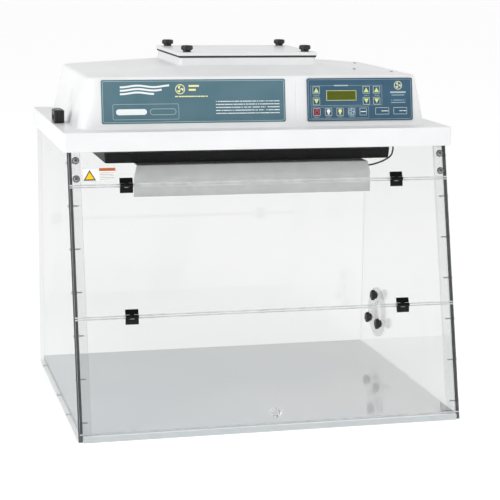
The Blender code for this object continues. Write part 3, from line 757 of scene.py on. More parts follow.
# %% [markdown]
# ## Hand knobs
#
# Seven equal knobs: four hold the filter cover and three the port cover. Each is a lathe
# shape whose rim is scalloped, with a waist below for the fingertips and a small dimple on
# top where the mould was filled. The scallops are a cosine in the radius, which a lathe
# function can take as its shape, so no extra modelling is needed.

# %% Knobs
def scallops(depth, lobes=6):
    return lambda angle: 1 - depth + depth * math.cos(lobes * angle)


def hand_knob(bm, seat, stud_foot, height=0.0145):
    """Head, waist and threaded stud of one knob, on the seat's z axis."""
    round_top = scallops(0.08)
    rim = scallops(0.14)
    profile = [
        (0.0084, 0.0003), (0.0090, 0.0010), (0.0085, 0.0022), (0.0086, 0.0034, scallops(0.03)),
        (0.0104, 0.0044, round_top), (0.0122, 0.0052, rim), (0.0128, 0.0064, rim), (0.0129, 0.0090, rim),
        (0.0128, 0.0116, rim), (0.0120, 0.0130, rim), (0.0098, 0.0140, round_top),
        (0.0060, height - 0.0002), (0.0034, height - 0.0001),
        (0.0028, height - 0.0008), (0.0010, height - 0.0010),
    ]
    turned(bm, profile, seat, 84)
    threads = [(0.0030 - 0.0003 * (i % 2), -0.0004 * i + 0.0004) for i in range(int(-stud_foot / 0.0004))]
    turned(bm, threads, seat, 16, material=1)


port_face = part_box("port_cover")[0].x
cover_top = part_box("filter_cover")[1].z
for node in [name for name in nodes if name.endswith("_knob") and name != "door_knob"]:
    low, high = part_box(node)
    middle = (low + high) / 2
    bm = bmesh.new()
    if "cover" in node:
        hand_knob(bm, Matrix.Translation((middle.x, middle.y, cover_top)), -0.0095)
    else:
        turn = Matrix.Rotation(-math.pi / 2, 4, "Y")
        hand_knob(bm, Matrix.Translation((port_face, middle.y, middle.z)) @ turn, -0.0040)
    name = node.replace("_knob", "_hand_knob")
    settle(dress(name, bm, (knob_black, zinc), 50), node, "black_plastic", node)
print("hand knobs done")

# %% [markdown]
# ## Hinges, pins and the pull knob
#
# Four hinges let the two doors fold. Each leaf is a glossy wedge that rises to a ridge at the
# pin, so it catches a highlight along its top. The frame already holds the knuckles and
# their clearances, and an eased copy keeps them. Easing is small here, because the two
# leaves pass each other 0.3 mm apart.

# %% Hinges
FOLDS = (("upper", "cabinet", "middle_door"), ("lower", "middle_door", "lower_door"))
for level, upper_body, lower_body in FOLDS:
    for side in ("left", "right"):
        for part, body, material, slot in (
            ("top_leaf", upper_body, hinge_black, "black_plastic"),
            ("bottom_leaf", lower_body, hinge_black, "black_plastic"),
            ("pin", upper_body, zinc, "pin_steel"),
        ):
            ease = 0.0002 if part == "pin" else 0.00035
            refit(f"{level}_{side}_{part}_shaped", f"{level}_{side}_hinge_{part}", body, slot, material, ease,
                  sharp=40, smooth=30)
print("hinges done")

# %% [markdown]
# The pull knob is clear cast plastic with flats around its rim, like a cut-glass drawer knob.
# A lathe profile that takes an eight-sided shape for part of its height gives the flats.

# %% Pull knob
def flats(angle):
    """Eight soft flats round a circle."""
    turn = angle % (math.pi / 4) - math.pi / 8
    return 0.93 / math.cos(turn)


PULL_UP = 0.039  # from the foot of the front up the slope
seat = on_front(0.0, PULL_UP * math.cos(FRONT_LEAN), 0.0004) @ Matrix.Rotation(math.pi / 2, 4, "X")
bm = bmesh.new()
profile = [
    (0.0058, 0.0), (0.0060, 0.0006), (0.0050, 0.0030), (0.0050, 0.0062), (0.0080, 0.0088, flats),
    (0.0098, 0.0108, flats), (0.0103, 0.0135, flats), (0.0098, 0.0162, flats), (0.0078, 0.0180, flats),
    (0.0040, 0.0187), (0.0012, 0.0186),
]
turned(bm, profile, seat, 48)
settle(dress("pull_knob", bm, (clear_acrylic,), 25), "lower_door", "clear_acrylic", "door_knob")
print("pull knob done")

# %% [markdown]
# ## Screws
#
# Small screws close the box: a row up each side wall into the strip behind the front, three
# along the foot of each side, two larger ones through the fixed panel at each end, and three
# in the housing roof. They are domed heads with a hexagon socket, turned like the knobs: the
# profile climbs over the dome and then goes down inside the socket. A row is one mesh, since
# its screws never move apart. The rows are pale zinc, and the larger screws a darker one.

# %% Screws
def screw(bm, place, radius, height, shank=0.0, socket=0.45):
    inner = radius * socket
    profile = [
        (radius, 0.0), (radius, height * 0.35), (radius * 0.90, height * 0.75), (radius * 0.66, height),
        (inner, height, hexagon), (inner, height * 0.35, hexagon), (inner * 0.1, height * 0.30, hexagon),
    ]
    if shank:
        profile = [(radius * 0.42, -shank), (radius * 0.45, -0.0002), (radius, -0.0001), *profile[1:]]
    turned(bm, profile, place, 24)


WALL_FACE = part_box("right_side_panel")[1].x
STRIP_DEPTH = 0.0108  # from the front's outer face to the middle of the strips
ROW_COUNT, ROW_FOOT, ROW_PITCH = 7, 0.0366, 0.0847
FOOT_PLACES, FOOT_Z = (0.259, 0.005, -0.146), 0.0061
WALL_SCREW = (0.0034, 0.0019, 0.020)  # radius, height, shank
PANEL_SCREW = (0.0056, 0.0034, 0.012)
WASHER = [(0.0046, 0.0), (0.0075, 0.0), (0.0075, 0.0010), (0.0046, 0.0011)]
for side, name in ((-1, "left"), (1, "right")):
    outwards = Matrix.Rotation(side * math.pi / 2, 4, "Y")
    bm = bmesh.new()
    places = [(y, FOOT_Z) for y in FOOT_PLACES]
    for z in [ROW_FOOT + ROW_PITCH * i for i in range(ROW_COUNT)]:
        places.append((FRONT_FOOT + z * math.tan(FRONT_LEAN) + STRIP_DEPTH / math.cos(FRONT_LEAN), z))
    for y, z in places:
        screw(bm, Matrix.Translation((side * WALL_FACE, y, z)) @ outwards, *WALL_SCREW)
    settle(dress(f"{name}_wall_screws", bm, (pale_zinc,), 35), "cabinet", "pin_steel")

    bm = bmesh.new()
    for z in (0.515, 0.551):
        seat = on_front(side * 0.390, z, 0.0) @ Matrix.Rotation(math.pi / 2, 4, "X")
        turned(bm, WASHER, seat, 32)
        screw(bm, seat @ Matrix.Translation((0, 0, WASHER[-1][1])), *PANEL_SCREW)
    settle(dress(f"{name}_panel_screws", bm, (dark_zinc,), 35), "cabinet", "pin_steel")
print("screws done")

# %% [markdown]
# The roof screws sit on sloping faces, so each one is aimed along the surface's own normal.
# Rather than work out the slopes by hand, a ray is dropped on the housing and the normal it
# meets is turned into a matrix.

# %% Roof screws
bm = bmesh.new()
bpy.context.view_layer.update()
for x, y in ((0.313, 0.170), (0.314, -0.084), (0.227, -0.092)):
    hit, place, normal, face = housing.ray_cast(Vector((x, y, 1.0)), Vector((0, 0, -1)))
    turn = Vector((0, 0, 1)).rotation_difference(normal).to_matrix().to_4x4()
    screw(bm, Matrix.Translation(place) @ turn, 0.0042, 0.0020, 0.004)
settle(dress("roof_screws", bm, (zinc,), 35), "cabinet", "pin_steel")
print("roof screws done")

# %% [markdown]
# ## Printing with masks
#
# The label, the keypad and the caution card are prints on plastic film. Real print is a thin
# layer of ink, so it belongs in the colour and not in the mesh. Each shape is a distance:
# how far a point lies from a rectangle. Below zero is ink; the absolute value of the
# distance gives an outline. Shapes are joined with the larger of two masks.

# %% Ink shapes
class Ink:
    """Print on a flat plate, laid out in its own x and z."""

    def __init__(self, finish, width=0.0, height=0.0, soft=0.00022):
        self.finish = finish
        self.left, self.top = -width / 2, height / 2
        self.soft = soft
        self.x, _, self.z = finish.axes()

    def box(self, x0, x1, down0, down1):
        """A rectangle measured from the plate's upper left corner."""
        return self.left + x0, self.left + x1, self.top - down1, self.top - down0

    def inside(self, distance):
        """1 where a distance is below zero, with a thin soft edge."""
        return (0.5 - distance / self.soft).math("MAXIMUM", 0.0).least(1.0)

    def far(self, left, right, low, high, corner=0.0):
        """Distance outside a rectangle with rounded corners."""
        half_x, half_z = (right - left) / 2 - corner, (high - low) / 2 - corner
        out_x = abs(self.x - (left + right) / 2) - half_x
        out_z = abs(self.z - (low + high) / 2) - half_z
        if not corner:
            return out_x.most(out_z)
        reach_x, reach_z = out_x.most(0.0), out_z.most(0.0)
        return (reach_x * reach_x + reach_z * reach_z).math("SQRT") - corner

    def bar(self, *box, corner=0.0):
        return self.inside(self.far(*box, corner=corner))

    def frame(self, *box, line=0.0006, corner=0.0015):
        return self.inside(abs(self.far(*box, corner=corner)) - line / 2)

    def disc(self, x, z, radius):
        return self.inside(self.from_point(x, z) - radius)

    def hoop(self, x, z, radius, line):
        return self.inside(abs(self.from_point(x, z) - radius) - line / 2)

    def from_point(self, x, z):
        run, rise = self.x - x, self.z - z
        return (run * run + rise * rise).math("SQRT")

    def triangle(self, x, z, half, tall, way=1):
        """A triangle that points up, or down with way -1; z is its middle."""
        rise = (self.z - z) * way + tall / 2
        run = abs(self.x - x)
        slope = run * (tall / half) + rise - tall
        return self.inside((slope * (half / math.hypot(half, tall))).most(-1.0 * rise))

    def words(self, left, right, low, high, rows, fill=0.5, seed=0.0):
        """Lines of make-believe small print: bars broken into words by noise."""
        pitch = (high - low) / rows
        row = ((self.z - low) / pitch).math("FLOOR")
        within = (self.z - low) / pitch - row
        line = (0.5 - abs(within - 0.5) / fill).math("MAXIMUM", 0.0).ease(0.20, 0.32)
        letters = self.finish.node("ShaderNodeCombineXYZ", {}, {0: self.x * 420.0, 1: row * 7.3 + seed})
        gaps = self.finish.noise(1.0, 1, 0.4, letters).ease(0.36, 0.44)
        return line * gaps * self.inside(self.far(left, right, low, high))


def joined(masks):
    total = masks[0]
    for mask in masks[1:]:
        total = total.most(mask)
    return total


def film(finish, colour, gloss=0.32):
    """Matt polyester film: fine texture, faint handling marks."""
    grain = finish.noise(2600, 1)
    marks = finish.noise(30, 4, 0.7).ease(0.5, 0.8)
    return finish.set(
        Base_Color=colour,
        Roughness=gloss + 0.06 * grain + 0.10 * marks,
        Normal=finish.bump(grain, 0.00001, 0.4),
    )


print("ink ready")

# %% [markdown]
# ## The front label
#
# A wide teal label carries a pale hairline border. Its title is left generic: three flowing
# lines that stand for moving air beside a small fan wheel, a boxed pair of bars, and a few
# lines of make-believe small print. The flowing lines are one sine wave repeated.

# %% Front label
PALE = (0.50, 0.61, 0.58)
CREAM = (0.80, 0.76, 0.38)
WHITE_INK = (0.78, 0.82, 0.82)


def fan_wheel(ink, x, z, size):
    """A ring with a three-bladed wheel in it."""
    run, rise = ink.x - x, ink.z - z
    angle = rise.math("ARCTAN2", run)
    radius = ink.from_point(x, z)
    curl = (angle * 3.0 + radius * (3.4 / size)).math("SINE")
    hub = ink.inside(radius - size * 0.16)
    blades = curl.ease(0.0, 0.25) * ink.inside(radius - size * 0.68) * (1.0 - hub)
    return joined([ink.hoop(x, z, size * 0.9, size * 0.16), blades, ink.disc(x, z, size * 0.10)])


def label_finish(width, height):
    finish = Finish("label_print", IOR=1.5)
    ink = Ink(finish, width, height)
    box = ink.box
    wave = (ink.x * 92.0).math("SINE") * 0.0016
    flow_rows = []
    for down, reach in ((0.0135, 0.142), (0.0205, 0.126), (0.0275, 0.110)):
        away = abs(ink.z - (ink.top - down) - wave) - 0.0019
        flow_rows.append(ink.inside(away) * ink.bar(*box(0.039, reach, 0.0, 0.040)))
    pale = joined([
        ink.frame(*box(0.0030, width - 0.0030, 0.0030, height - 0.0030), line=0.0008, corner=0.0035),
        ink.frame(*box(0.0235, 0.1610, 0.0500, 0.0815), line=0.0007, corner=0.003),
        ink.frame(*box(0.1010, 0.1550, 0.0600, 0.0720), line=0.0009, corner=0.006),
    ])
    white = joined([
        *flow_rows, ink.bar(*box(0.0300, 0.0940, 0.0600, 0.0720), corner=0.0059),
        ink.words(*box(0.2400, 0.3770, 0.0430, 0.0740), 5, 0.55),
    ])
    yellow = joined([
        fan_wheel(ink, ink.left + 0.165, ink.top - 0.020, 0.0105),
        ink.bar(*box(0.183, 0.205, 0.0115, 0.0155)), ink.bar(*box(0.183, 0.198, 0.0195, 0.0235)),
        ink.words(*box(0.1540, 0.2230, 0.0320, 0.0380), 1, 0.8, 3.0),
    ])
    tone = finish.blend(finish.noise(14, 2).ease(0.3, 0.7), (0.076, 0.155, 0.192), (0.092, 0.175, 0.212))
    tone = finish.blend(pale * 0.85, tone, PALE)
    tone = finish.blend(white, tone, WHITE_INK)
    return film(finish, finish.blend(yellow, tone, CREAM))


LABEL_LEFT, LABEL_RIGHT, PLATE_HEIGHT, PLATE_CORNER = -0.329, 0.061, 0.090, 0.0035
label_width = LABEL_RIGHT - LABEL_LEFT
label_middle = (LABEL_LEFT + LABEL_RIGHT) / 2
plate_middle = PLATE_FOOT + PLATE_HEIGHT / 2
bm = bmesh.new()
slab(bm, label_width / 2, PLATE_HEIGHT / 2, 0.0006, PLATE_CORNER)
label = dress("label_plate", bm, (label_finish(label_width, PLATE_HEIGHT),), 30)
label.matrix_world = on_face(label_middle, plate_middle, 0.0003)
settle(label, "cabinet", "label_teal", "front_label")
print("label done")

# %% [markdown]
# ## The keypad
#
# The keypad is a printed overlay on a carrier with a pocket for every key and for the
# display. The thirteen keys are pieces of their own, so the overlay needs real holes. A
# Boolean could cut them from a slab, but the frame's plate already has them: an eased copy
# is exact. The print then repeats the layout, measured from the plate's upper left corner.

# %% Keypad overlay
PAD_LEFT, PAD_RIGHT = 0.1084, 0.3429
pad_width = PAD_RIGHT - PAD_LEFT
pad_middle = (PAD_LEFT + PAD_RIGHT) / 2
SLATE = (0.040, 0.096, 0.148)
KEY = 0.0165


def pad_finish():
    finish = Finish("keypad_print", IOR=1.5)
    ink = Ink(finish, pad_width, PLATE_HEIGHT)
    box = ink.box
    pale = [
        ink.frame(*box(0.0028, pad_width - 0.0028, 0.0028, 0.0872), line=0.0007, corner=0.0032),
        ink.frame(*box(0.0083, 0.1662, 0.0154, 0.0574), line=0.0005, corner=0.001),
        ink.frame(*box(0.0092, 0.1358, 0.0608, 0.0845), line=0.0005, corner=0.001),
        ink.bar(*box(0.0600, 0.0910, 0.0142, 0.0166)),
        ink.words(*box(0.1870, 0.2190, 0.0450, 0.0550), 2, 0.6, 5.0),
        ink.bar(*box(0.1850, 0.2200, 0.0290, 0.0325)),
        ink.bar(*box(0.1880, 0.2170, 0.0360, 0.0375)),
    ]
    legends = [(across, 0.0352, 0.0382, 90) for across in (0.0203, 0.1311, 0.1542)]
    legends += [(0.0207 + 0.0257 * index, 0.0803, 0.0829, 70) for index in range(4)]
    for across, high, low, seed in legends:
        pale.append(ink.words(*box(across - 0.0062, across + 0.0062, high, low), 1, 0.8, across * seed))
    wheel = fan_wheel(ink, ink.left + 0.2030, ink.top - 0.0160, 0.0092)
    tone = finish.blend(finish.noise(20, 2).ease(0.3, 0.7), SLATE, tuple(part * 1.12 for part in SLATE))
    tone = finish.blend(joined(pale) * 0.8, tone, (0.47, 0.57, 0.60))
    return film(finish, finish.blend(wheel, tone, (0.68, 0.68, 0.42)))


bm = bmesh.new()
frame_copy(bm, "controller_plate")
bm.transform(on_face(pad_middle, plate_middle, 0.0).inverted())
CLOSE = 0.0001


def at_plate_corner(vert):
    return abs(vert.co.x) > pad_width / 2 - CLOSE and abs(vert.co.z) > PLATE_HEIGHT / 2 - CLOSE


bevel(bm, [edge for edge in bm.edges if all(map(at_plate_corner, edge.verts))], PLATE_CORNER, 7, False)
ease_edges(bm, 0.00012, 1)
pad = dress("keypad_overlay", bm, (pad_finish(),), 30)
pad.matrix_world = on_face(pad_middle, plate_middle, 0.0)
settle(pad, "cabinet", "keypad_blue", "controller_plate")
print("keypad overlay done")

# %% [markdown]
# Each key is a small domed pad with a pale outline and a symbol: an arrow, a lamp, a fan. Only
# the symbol changes from key to key, so one function draws them all in the key's own
# coordinates. The dome is half a millimetre at most, as on a real membrane.

# %% Keys
GREEN = (0.60, 0.70, 0.24)
OUTLINE = (0.56, 0.66, 0.64)


def key_finish(kind, half_x, half_z):
    finish = Finish(f"{kind}_key_print", IOR=1.5)
    ink = Ink(finish)
    ground, mark = SLATE, WHITE_INK
    if kind in ("up", "down"):
        mark = GREEN
        shape = ink.triangle(0.0, 0.0, 0.0054, 0.0098, 1 if kind == "up" else -1)
    elif kind == "power":
        ground, mark = (0.13, 0.015, 0.03), (0.45, 0.10, 0.16)
        shape = joined([ink.hoop(0.0, -0.0004, 0.0042, 0.0014), ink.bar(-0.0007, 0.0007, 0.0, 0.0058)])
    elif kind in ("lamp", "uv"):
        mark = WHITE_INK if kind == "lamp" else (0.74, 0.74, 0.30)
        shape = joined([ink.disc(0.0, 0.0018, 0.0040), ink.bar(-0.0017, 0.0017, -0.0054, -0.0010)])
    elif kind == "fan":
        mark = (0.42, 0.56, 0.64)
        shape = fan_wheel(ink, 0.0, 0.0, 0.0066)
    elif kind == "mute":
        shape = ink.words(-0.0060, 0.0060, -0.0022, 0.0022, 1, 0.9, 2.0)
    else:
        shape = ink.words(-0.0020, half_x - 0.0022, -0.0018, 0.0018, 1, 0.9, 1.0 if kind == "start" else 4.0)
    side, tall = half_x - 0.0009, half_z - 0.0009
    frame_line = ink.frame(-side, side, -tall, tall, line=0.0009, corner=0.0016)
    tone = finish.blend(frame_line * 0.9, ground, OUTLINE)
    return film(finish, finish.blend(shape, tone, mark), 0.28)


KEY_SLOTS = {"power": "key_red", "up": "key_green", "down": "key_green"}
key_materials = {}
for node in [name for name in nodes if name.endswith("_key")]:
    kind = "up" if "_up_" in node else "down" if "_down_" in node else node.replace("_key", "")
    wide = kind in ("start", "stop")
    half_x, half_z = (0.01575, 0.00775) if wide else (KEY / 2, KEY / 2)
    if kind not in key_materials:
        key_materials[kind] = key_finish(kind, half_x, half_z)
    low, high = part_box(node)
    middle = (low + high) / 2
    bm = bmesh.new()
    rings = []
    for inset, y in ((0.0, 0.0005), (0.0, -0.0002), (0.0003, -0.00042), (0.0016, -0.00050)):
        outline = rounded(half_x - inset, half_z - inset, 0.0012)
        rings.append(ring_of(bm, [(x, y, z) for x, z in outline]))
    skin(bm, rings)
    key = dress(node.replace("_key", "_pad"), bm, (key_materials[kind],), 50)
    key.matrix_world = Matrix.Translation(middle) @ Matrix.Rotation(-FACE_LEAN, 4, "X")
    plain_slot = "keypad_blue" if wide else "key_blue"
    settle(key, node, KEY_SLOTS.get(kind, plain_slot), node)
print("keys:", len(key_materials), "prints")

# %% [markdown]
# The display is an unlit liquid-crystal window: olive, with the faint grid of its character
# cells, under a clear glossy face. The cells come from the fractional part of the
# coordinates, which repeats a small rectangle sixteen times across and twice down.

# %% Display
def display_finish():
    finish = Finish("display_glass", IOR=1.5, Coat_Weight=0.6, Coat_Roughness=0.04)
    ink = Ink(finish)
    column = (ink.x / 0.0037 + 8.0).math("FRACT")
    row = (ink.z / 0.0078 + 1.0).math("FRACT")
    cells = abs(column - 0.5).ease(0.36, 0.42, 1.0, 0.0) * abs(row - 0.5).ease(0.38, 0.43, 1.0, 0.0)
    cells = cells * ink.bar(-0.0296, 0.0296, -0.0078, 0.0078)
    rim = 1.0 - ink.bar(-0.0322, 0.0322, -0.0097, 0.0097)
    olive = finish.blend(finish.noise(30, 2), (0.085, 0.108, 0.010), (0.105, 0.128, 0.012))
    olive = finish.blend(cells * 0.30, olive, (0.058, 0.076, 0.008))
    return finish.set(
        Base_Color=finish.blend(rim, olive, (0.64, 0.66, 0.42)),
        Roughness=0.14 + 0.08 * finish.noise(60, 2),
    )


DISPLAY_WIDTH, DISPLAY_HEIGHT = 0.0665, 0.0214
low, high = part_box("lcd_window")
bm = bmesh.new()
slab(bm, DISPLAY_WIDTH / 2, DISPLAY_HEIGHT / 2, 0.0007, 0.0006)
display = dress("display_window", bm, (display_finish(),), 30)
display.matrix_world = Matrix.Translation((low + high) / 2) @ Matrix.Rotation(-FACE_LEAN, 4, "X")
settle(display, "cabinet", "lcd_olive", "lcd_window")
print("display done")

# %% [markdown]
# ## The caution card
#
# A small printed card is stuck to the fixed panel. It is kept generic: an orange header, a
# plain yellow triangle with a dark border and no sign in it, and lines of make-believe print.

# %% Caution card
def card_finish(half_x, half_z):
    finish = Finish("card_print", IOR=1.5)
    ink = Ink(finish)
    edge = ink.triangle(-0.0190, -0.0010, 0.0128, 0.0215)
    inner = ink.triangle(-0.0190, -0.0018, 0.0090, 0.0148)
    header = ink.bar(0.0005, half_x - 0.0010, 0.0072, half_z - 0.0010)
    print_lines = ink.words(0.0012, half_x - 0.0030, -0.0110, 0.0050, 5, 0.6, 2.0)
    border = ink.frame(0.0006 - half_x, half_x - 0.0006, 0.0006 - half_z, half_z - 0.0006, line=0.0005)
    paper = finish.blend(finish.noise(40, 2), (0.80, 0.80, 0.79), (0.84, 0.84, 0.83))
    paper = finish.blend(print_lines * 0.9 + border * 0.6, paper, (0.14, 0.14, 0.15))
    paper = finish.blend(header, paper, (0.47, 0.11, 0.025))
    paper = finish.blend(edge, paper, (0.05, 0.045, 0.03))
    return film(finish, finish.blend(inner, paper, (0.87, 0.55, 0.02)), 0.35)


CARD_HALF = (0.0345, 0.0140)
bm = bmesh.new()
slab(bm, *CARD_HALF, 0.0004, 0.0015)
card = dress("caution_card", bm, (card_finish(*CARD_HALF),), 30)
card.matrix_world = on_front(-0.3435, 0.5225, 0.0)
settle(card, "cabinet", "white_shell")
print("caution card done")

# %% [markdown]
# ## Mains inlet and rocker
#
# On the left ledge sits a black inlet: a socket with three contacts facing left, ribs for
# grip on its front, and a rocker on top. The block and its recesses are an eased copy of the
# frame; the contacts, the ribs and two small feet are added.

# %% Inlet
inlet_low, inlet_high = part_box("power_inlet")
bm = bmesh.new()
eased_copy(bm, "power_inlet", 0.0006)


def bevelled_box(bm, low, high, ease, material=0, segments=2):
    """A box with eased edges, added to a mesh."""
    part = bmesh.new()
    bmesh.ops.create_cube(part, size=1.0)
    for vert in part.verts:
        vert.co = [low[i] + (vert.co[i] + 0.5) * (high[i] - low[i]) for i in range(3)]
    bevel(part, list(part.edges), ease, segments, False)
    for face in part.faces:
        face.material_index = material
    spare = bpy.data.meshes.new("spare")
    part.to_mesh(spare)
    part.free()
    bm.from_mesh(spare)
    bpy.data.meshes.remove(spare)


for x in (-0.4072, -0.39975, -0.3923):
    bevelled_box(bm, (x - 0.0022, inlet_low.y - 0.0028, inlet_low.z + 0.002),
                 (x + 0.0022, inlet_low.y + 0.0006, inlet_high.z - 0.003), 0.0005)
for y, z in ((-0.0065, 0.0085), (0.0045, 0.0085), (-0.0010, 0.0125)):
    bevelled_box(bm, (inlet_low.x + 0.0025, y - 0.0007, inlet_low.z + z - 0.0018),
                 (inlet_low.x + 0.0125, y + 0.0007, inlet_low.z + z + 0.0018), 0.0002, 1)
for y in (-0.016, 0.014):
    bevelled_box(bm, (inlet_low.x + 0.003, y - 0.002, LEDGE + 0.0001),
                 (inlet_high.x - 0.003, y + 0.002, inlet_low.z + 0.0004), 0.0002)
settle(dress("mains_inlet", bm, (inlet_black, brass), 30), "cabinet", "black_plastic", "power_inlet")


def rocker_finish():
    """Glossy rocker with a bar and a ring for on and off."""
    finish = Finish("rocker_print", IOR=1.5)
    x, y, _ = finish.axes()
    low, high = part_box("rocker_switch")
    middle = (low + high) / 2
    bar = abs(x - middle.x).ease(0.0022, 0.0025, 1.0, 0.0)
    bar = bar * abs(y - (middle.y + 0.0065)).ease(0.0004, 0.0006, 1.0, 0.0)
    run, rise = x - middle.x, y - (middle.y - 0.0065)
    ring = abs((run * run + rise * rise).math("SQRT") - 0.0018).ease(0.0003, 0.0005, 1.0, 0.0)
    grain = finish.noise(1500, 2)
    return finish.set(
        Base_Color=finish.blend(bar.most(ring), (0.013, 0.013, 0.014), (0.75, 0.76, 0.76)),
        Roughness=0.22 + 0.15 * grain,
        Normal=finish.bump(grain, 0.00003, 0.5),
    )


refit("rocker_cap", "rocker_switch", "rocker", "black_plastic", rocker_finish(), 0.0005, smooth=30)
print("inlet done")

# %% [markdown]
# ## Filter tray and filter
#
# The tray is a folded and welded steel pan, powder-coated black. Seen from the front it is
# the dark band under the skirt. Its frame shape has square inner corners, and an eased copy
# with two segments gives the soft edge that powder coat leaves. Pan-head screws and small
# wire clips break up the plain wall.

# %% Tray
bm = bmesh.new()
eased_copy(bm, "filter_tray", 0.0008, 2, 50)
TRAY_FRONT, TRAY_FOOT = -0.087, 0.529
facing = Matrix.Rotation(math.pi / 2 + math.atan2(0.006, 0.071), 4, "X")  # the front wall leans by 6 in 71
for x in (-0.285, -0.165, 0.0, 0.165, 0.285):
    screw(bm, Matrix.Translation((x, TRAY_FRONT - 0.0029, TRAY_FOOT + 0.034)) @ facing, 0.0042, 0.0024, 0.002)
settle(dress("tray", bm, (tray_black,), 35), "cabinet", "black_plastic", "filter_tray")

bm = bmesh.new()
for x in (-0.296, -0.280, 0.196, 0.262):
    y = TRAY_FRONT - 0.0052
    for half, front, back, foot, top in (
        (0.0022, 0.0012, 0.0012, 0.040, 0.062),
        (0.0045, 0.0020, 0.0006, 0.050, 0.0535),
    ):
        low, high = (x - half, y - front, TRAY_FOOT + foot), (x + half, y + back, TRAY_FOOT + top)
        bevelled_box(bm, low, high, 0.0005)
settle(dress("tray_clips", bm, (zinc,), 35), "cabinet", "pin_steel")
print("tray done")

# %% [markdown]
# The filter is a block of pleated paper in a frame. From below you look into its folds, so
# the folds are real geometry: a zigzag of 110 pleats, closed into a body by a flat back. A
# bump map would look flat as soon as the camera comes near.

# %% Pleated filter
def paper():
    finish = Finish("filter_paper", IOR=1.4)
    fibres = finish.noise(900, 4, 0.75)
    return finish.set(
        Base_Color=finish.blend(fibres, (0.74, 0.74, 0.71), (0.86, 0.86, 0.84)),
        Roughness=0.85 + 0.1 * fibres,
        Normal=finish.bump(fibres, 0.0002, 0.6),
    )


filter_low, filter_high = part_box("hepa_filter")
FRAME_WALL, PLEATS = 0.012, 110
VALLEY, RIDGE = filter_low.z + 0.009, filter_low.z + 0.0012
left, right = filter_low.x + FRAME_WALL, filter_high.x - FRAME_WALL
pitch = (right - left) / PLEATS
profile = [(left, filter_high.z - 0.004)]
for i in range(PLEATS):
    for share, z in ((0.0, VALLEY), (0.42, RIDGE), (0.58, RIDGE)):
        profile.append((left + pitch * (i + share), z))
profile += [(right, VALLEY), (right, filter_high.z - 0.004)]
bm = bmesh.new()
ends = (filter_low.y + FRAME_WALL, filter_high.y - FRAME_WALL)
skin(bm, [ring_of(bm, [(x, y, z) for x, z in profile]) for y in ends])
settle(dress("filter_pleats", bm, (paper(),), 20), "cabinet", "filter_media", "hepa_filter")

bm = bmesh.new()
frame_rings = []
INNER = FRAME_WALL - 0.0004
for inset, z in ((0, filter_low.z), (0, filter_high.z), (INNER, filter_high.z), (INNER, filter_low.z)):
    west, east = filter_low.x + inset, filter_high.x - inset
    south, north = filter_low.y + inset, filter_high.y - inset
    frame_rings.append(ring_of(bm, [(west, south, z), (east, south, z), (east, north, z), (west, north, z)]))
skin(bm, frame_rings, closed=True)
bevel(bm, list(bm.edges), 0.0008, 2, False)
frame_metal = metal("filter_frame_metal", (0.62, 0.63, 0.63), 0.4, grain=300.0)
settle(dress("filter_frame", bm, (frame_metal,), 35), "cabinet", "sheet_aluminium")
print("filter:", PLEATS, "pleats")

# %% [markdown]
# ## Blower
#
# Behind the filter cover turn the motor and its wheel. They show only when the cover is
# lifted, so the frame's shapes are kept with eased edges and a cast or spun metal finish.

# %% Blower
spun_metal = metal("spun_wheel", (0.55, 0.56, 0.57), 0.3, (1.0, 1.0, 0.05), 900.0)
for name, node, body, material in (
    ("blower_casting", "blower_motor", "cabinet", motor_metal),
    ("blower_wheel", "impeller", "impeller", spun_metal),
):
    refit(name, node, body, "motor_steel", material, 0.00025, 1, 40, 40)
print("blower done")

# %% [markdown]
# ## The lamp under the tray
#
# The shade is a sheet of aluminium with a recessed lengthwise band, a turned-back lower lip
# and its upper corners cut away. It is drawn as a bent section, swept sideways, with the cut
# corners made by pulling in the ends of its upper part. The real sheet has sharp but rounded
# folds, so every fold in the section is a short curve.

# %% Lamp shade
def bend_line(points, reach, steps=5):
    """Round the inner corners of an open line."""
    line = [points[0]]
    for before, here, after in zip(points, points[1:], points[2:]):
        here = Vector(here)
        one = here + (Vector(before) - here).normalized() * reach
        two = here + (Vector(after) - here).normalized() * reach
        for step in range(steps + 1):
            line.append(tuple(bent(step / steps, one, here, two)))
    return [*line, points[-1]]


shade_low, shade_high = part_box("lamp_shade")
CEILING, HALF = shade_high.z, shade_high.x
FRONT = shade_low.y + 0.0021
SHEET, STATIONS = 0.0012, 24
CORNER_CUT, CORNER_SLOPE = 0.0085, 0.9
centre_line = [
    (-0.0640, CEILING - 0.0007), (FRONT + 0.0004, CEILING - 0.0007), (FRONT - 0.0010, 0.5020),
    (FRONT + 0.0016, 0.4955), (FRONT + 0.0014, 0.4868), (FRONT - 0.0009, 0.4842),
    (FRONT - 0.0012, 0.4634), (FRONT + 0.0045, 0.4632),
]
line = bend_line(centre_line, 0.0011)
back_side = []
for i, (y, z) in enumerate(line):
    y0, z0 = line[max(i - 1, 0)]
    y1, z1 = line[min(i + 1, len(line) - 1)]
    run = Vector((y1 - y0, z1 - z0)).normalized()
    back_side.append((y + run.y * SHEET, z - run.x * SHEET))
section = line + back_side[::-1]
bm = bmesh.new()
sweep = []
for i in range(STATIONS + 1):
    x = HALF * (2 * i / STATIONS - 1)
    points = []
    for y, z in section:
        cut = max(0.0, z - (CEILING - CORNER_CUT)) * CORNER_SLOPE if i in (0, STATIONS) else 0.0
        points.append((x - math.copysign(cut, x), y, min(z, CEILING)))
    sweep.append(ring_of(bm, points))
skin(bm, sweep)
settle(dress("shade", bm, (brushed,), 30), "cabinet", "sheet_aluminium", "lamp_shade")
print("shade section points:", len(section))

# %% [markdown]
# Behind the shade hangs the lamp holder with a white working lamp and a germicidal lamp. A
# fluorescent tube has a phosphor coat that ends in a darker band near each metal cap, so the
# colour changes with the distance from its middle. The germicidal tube has no coat.

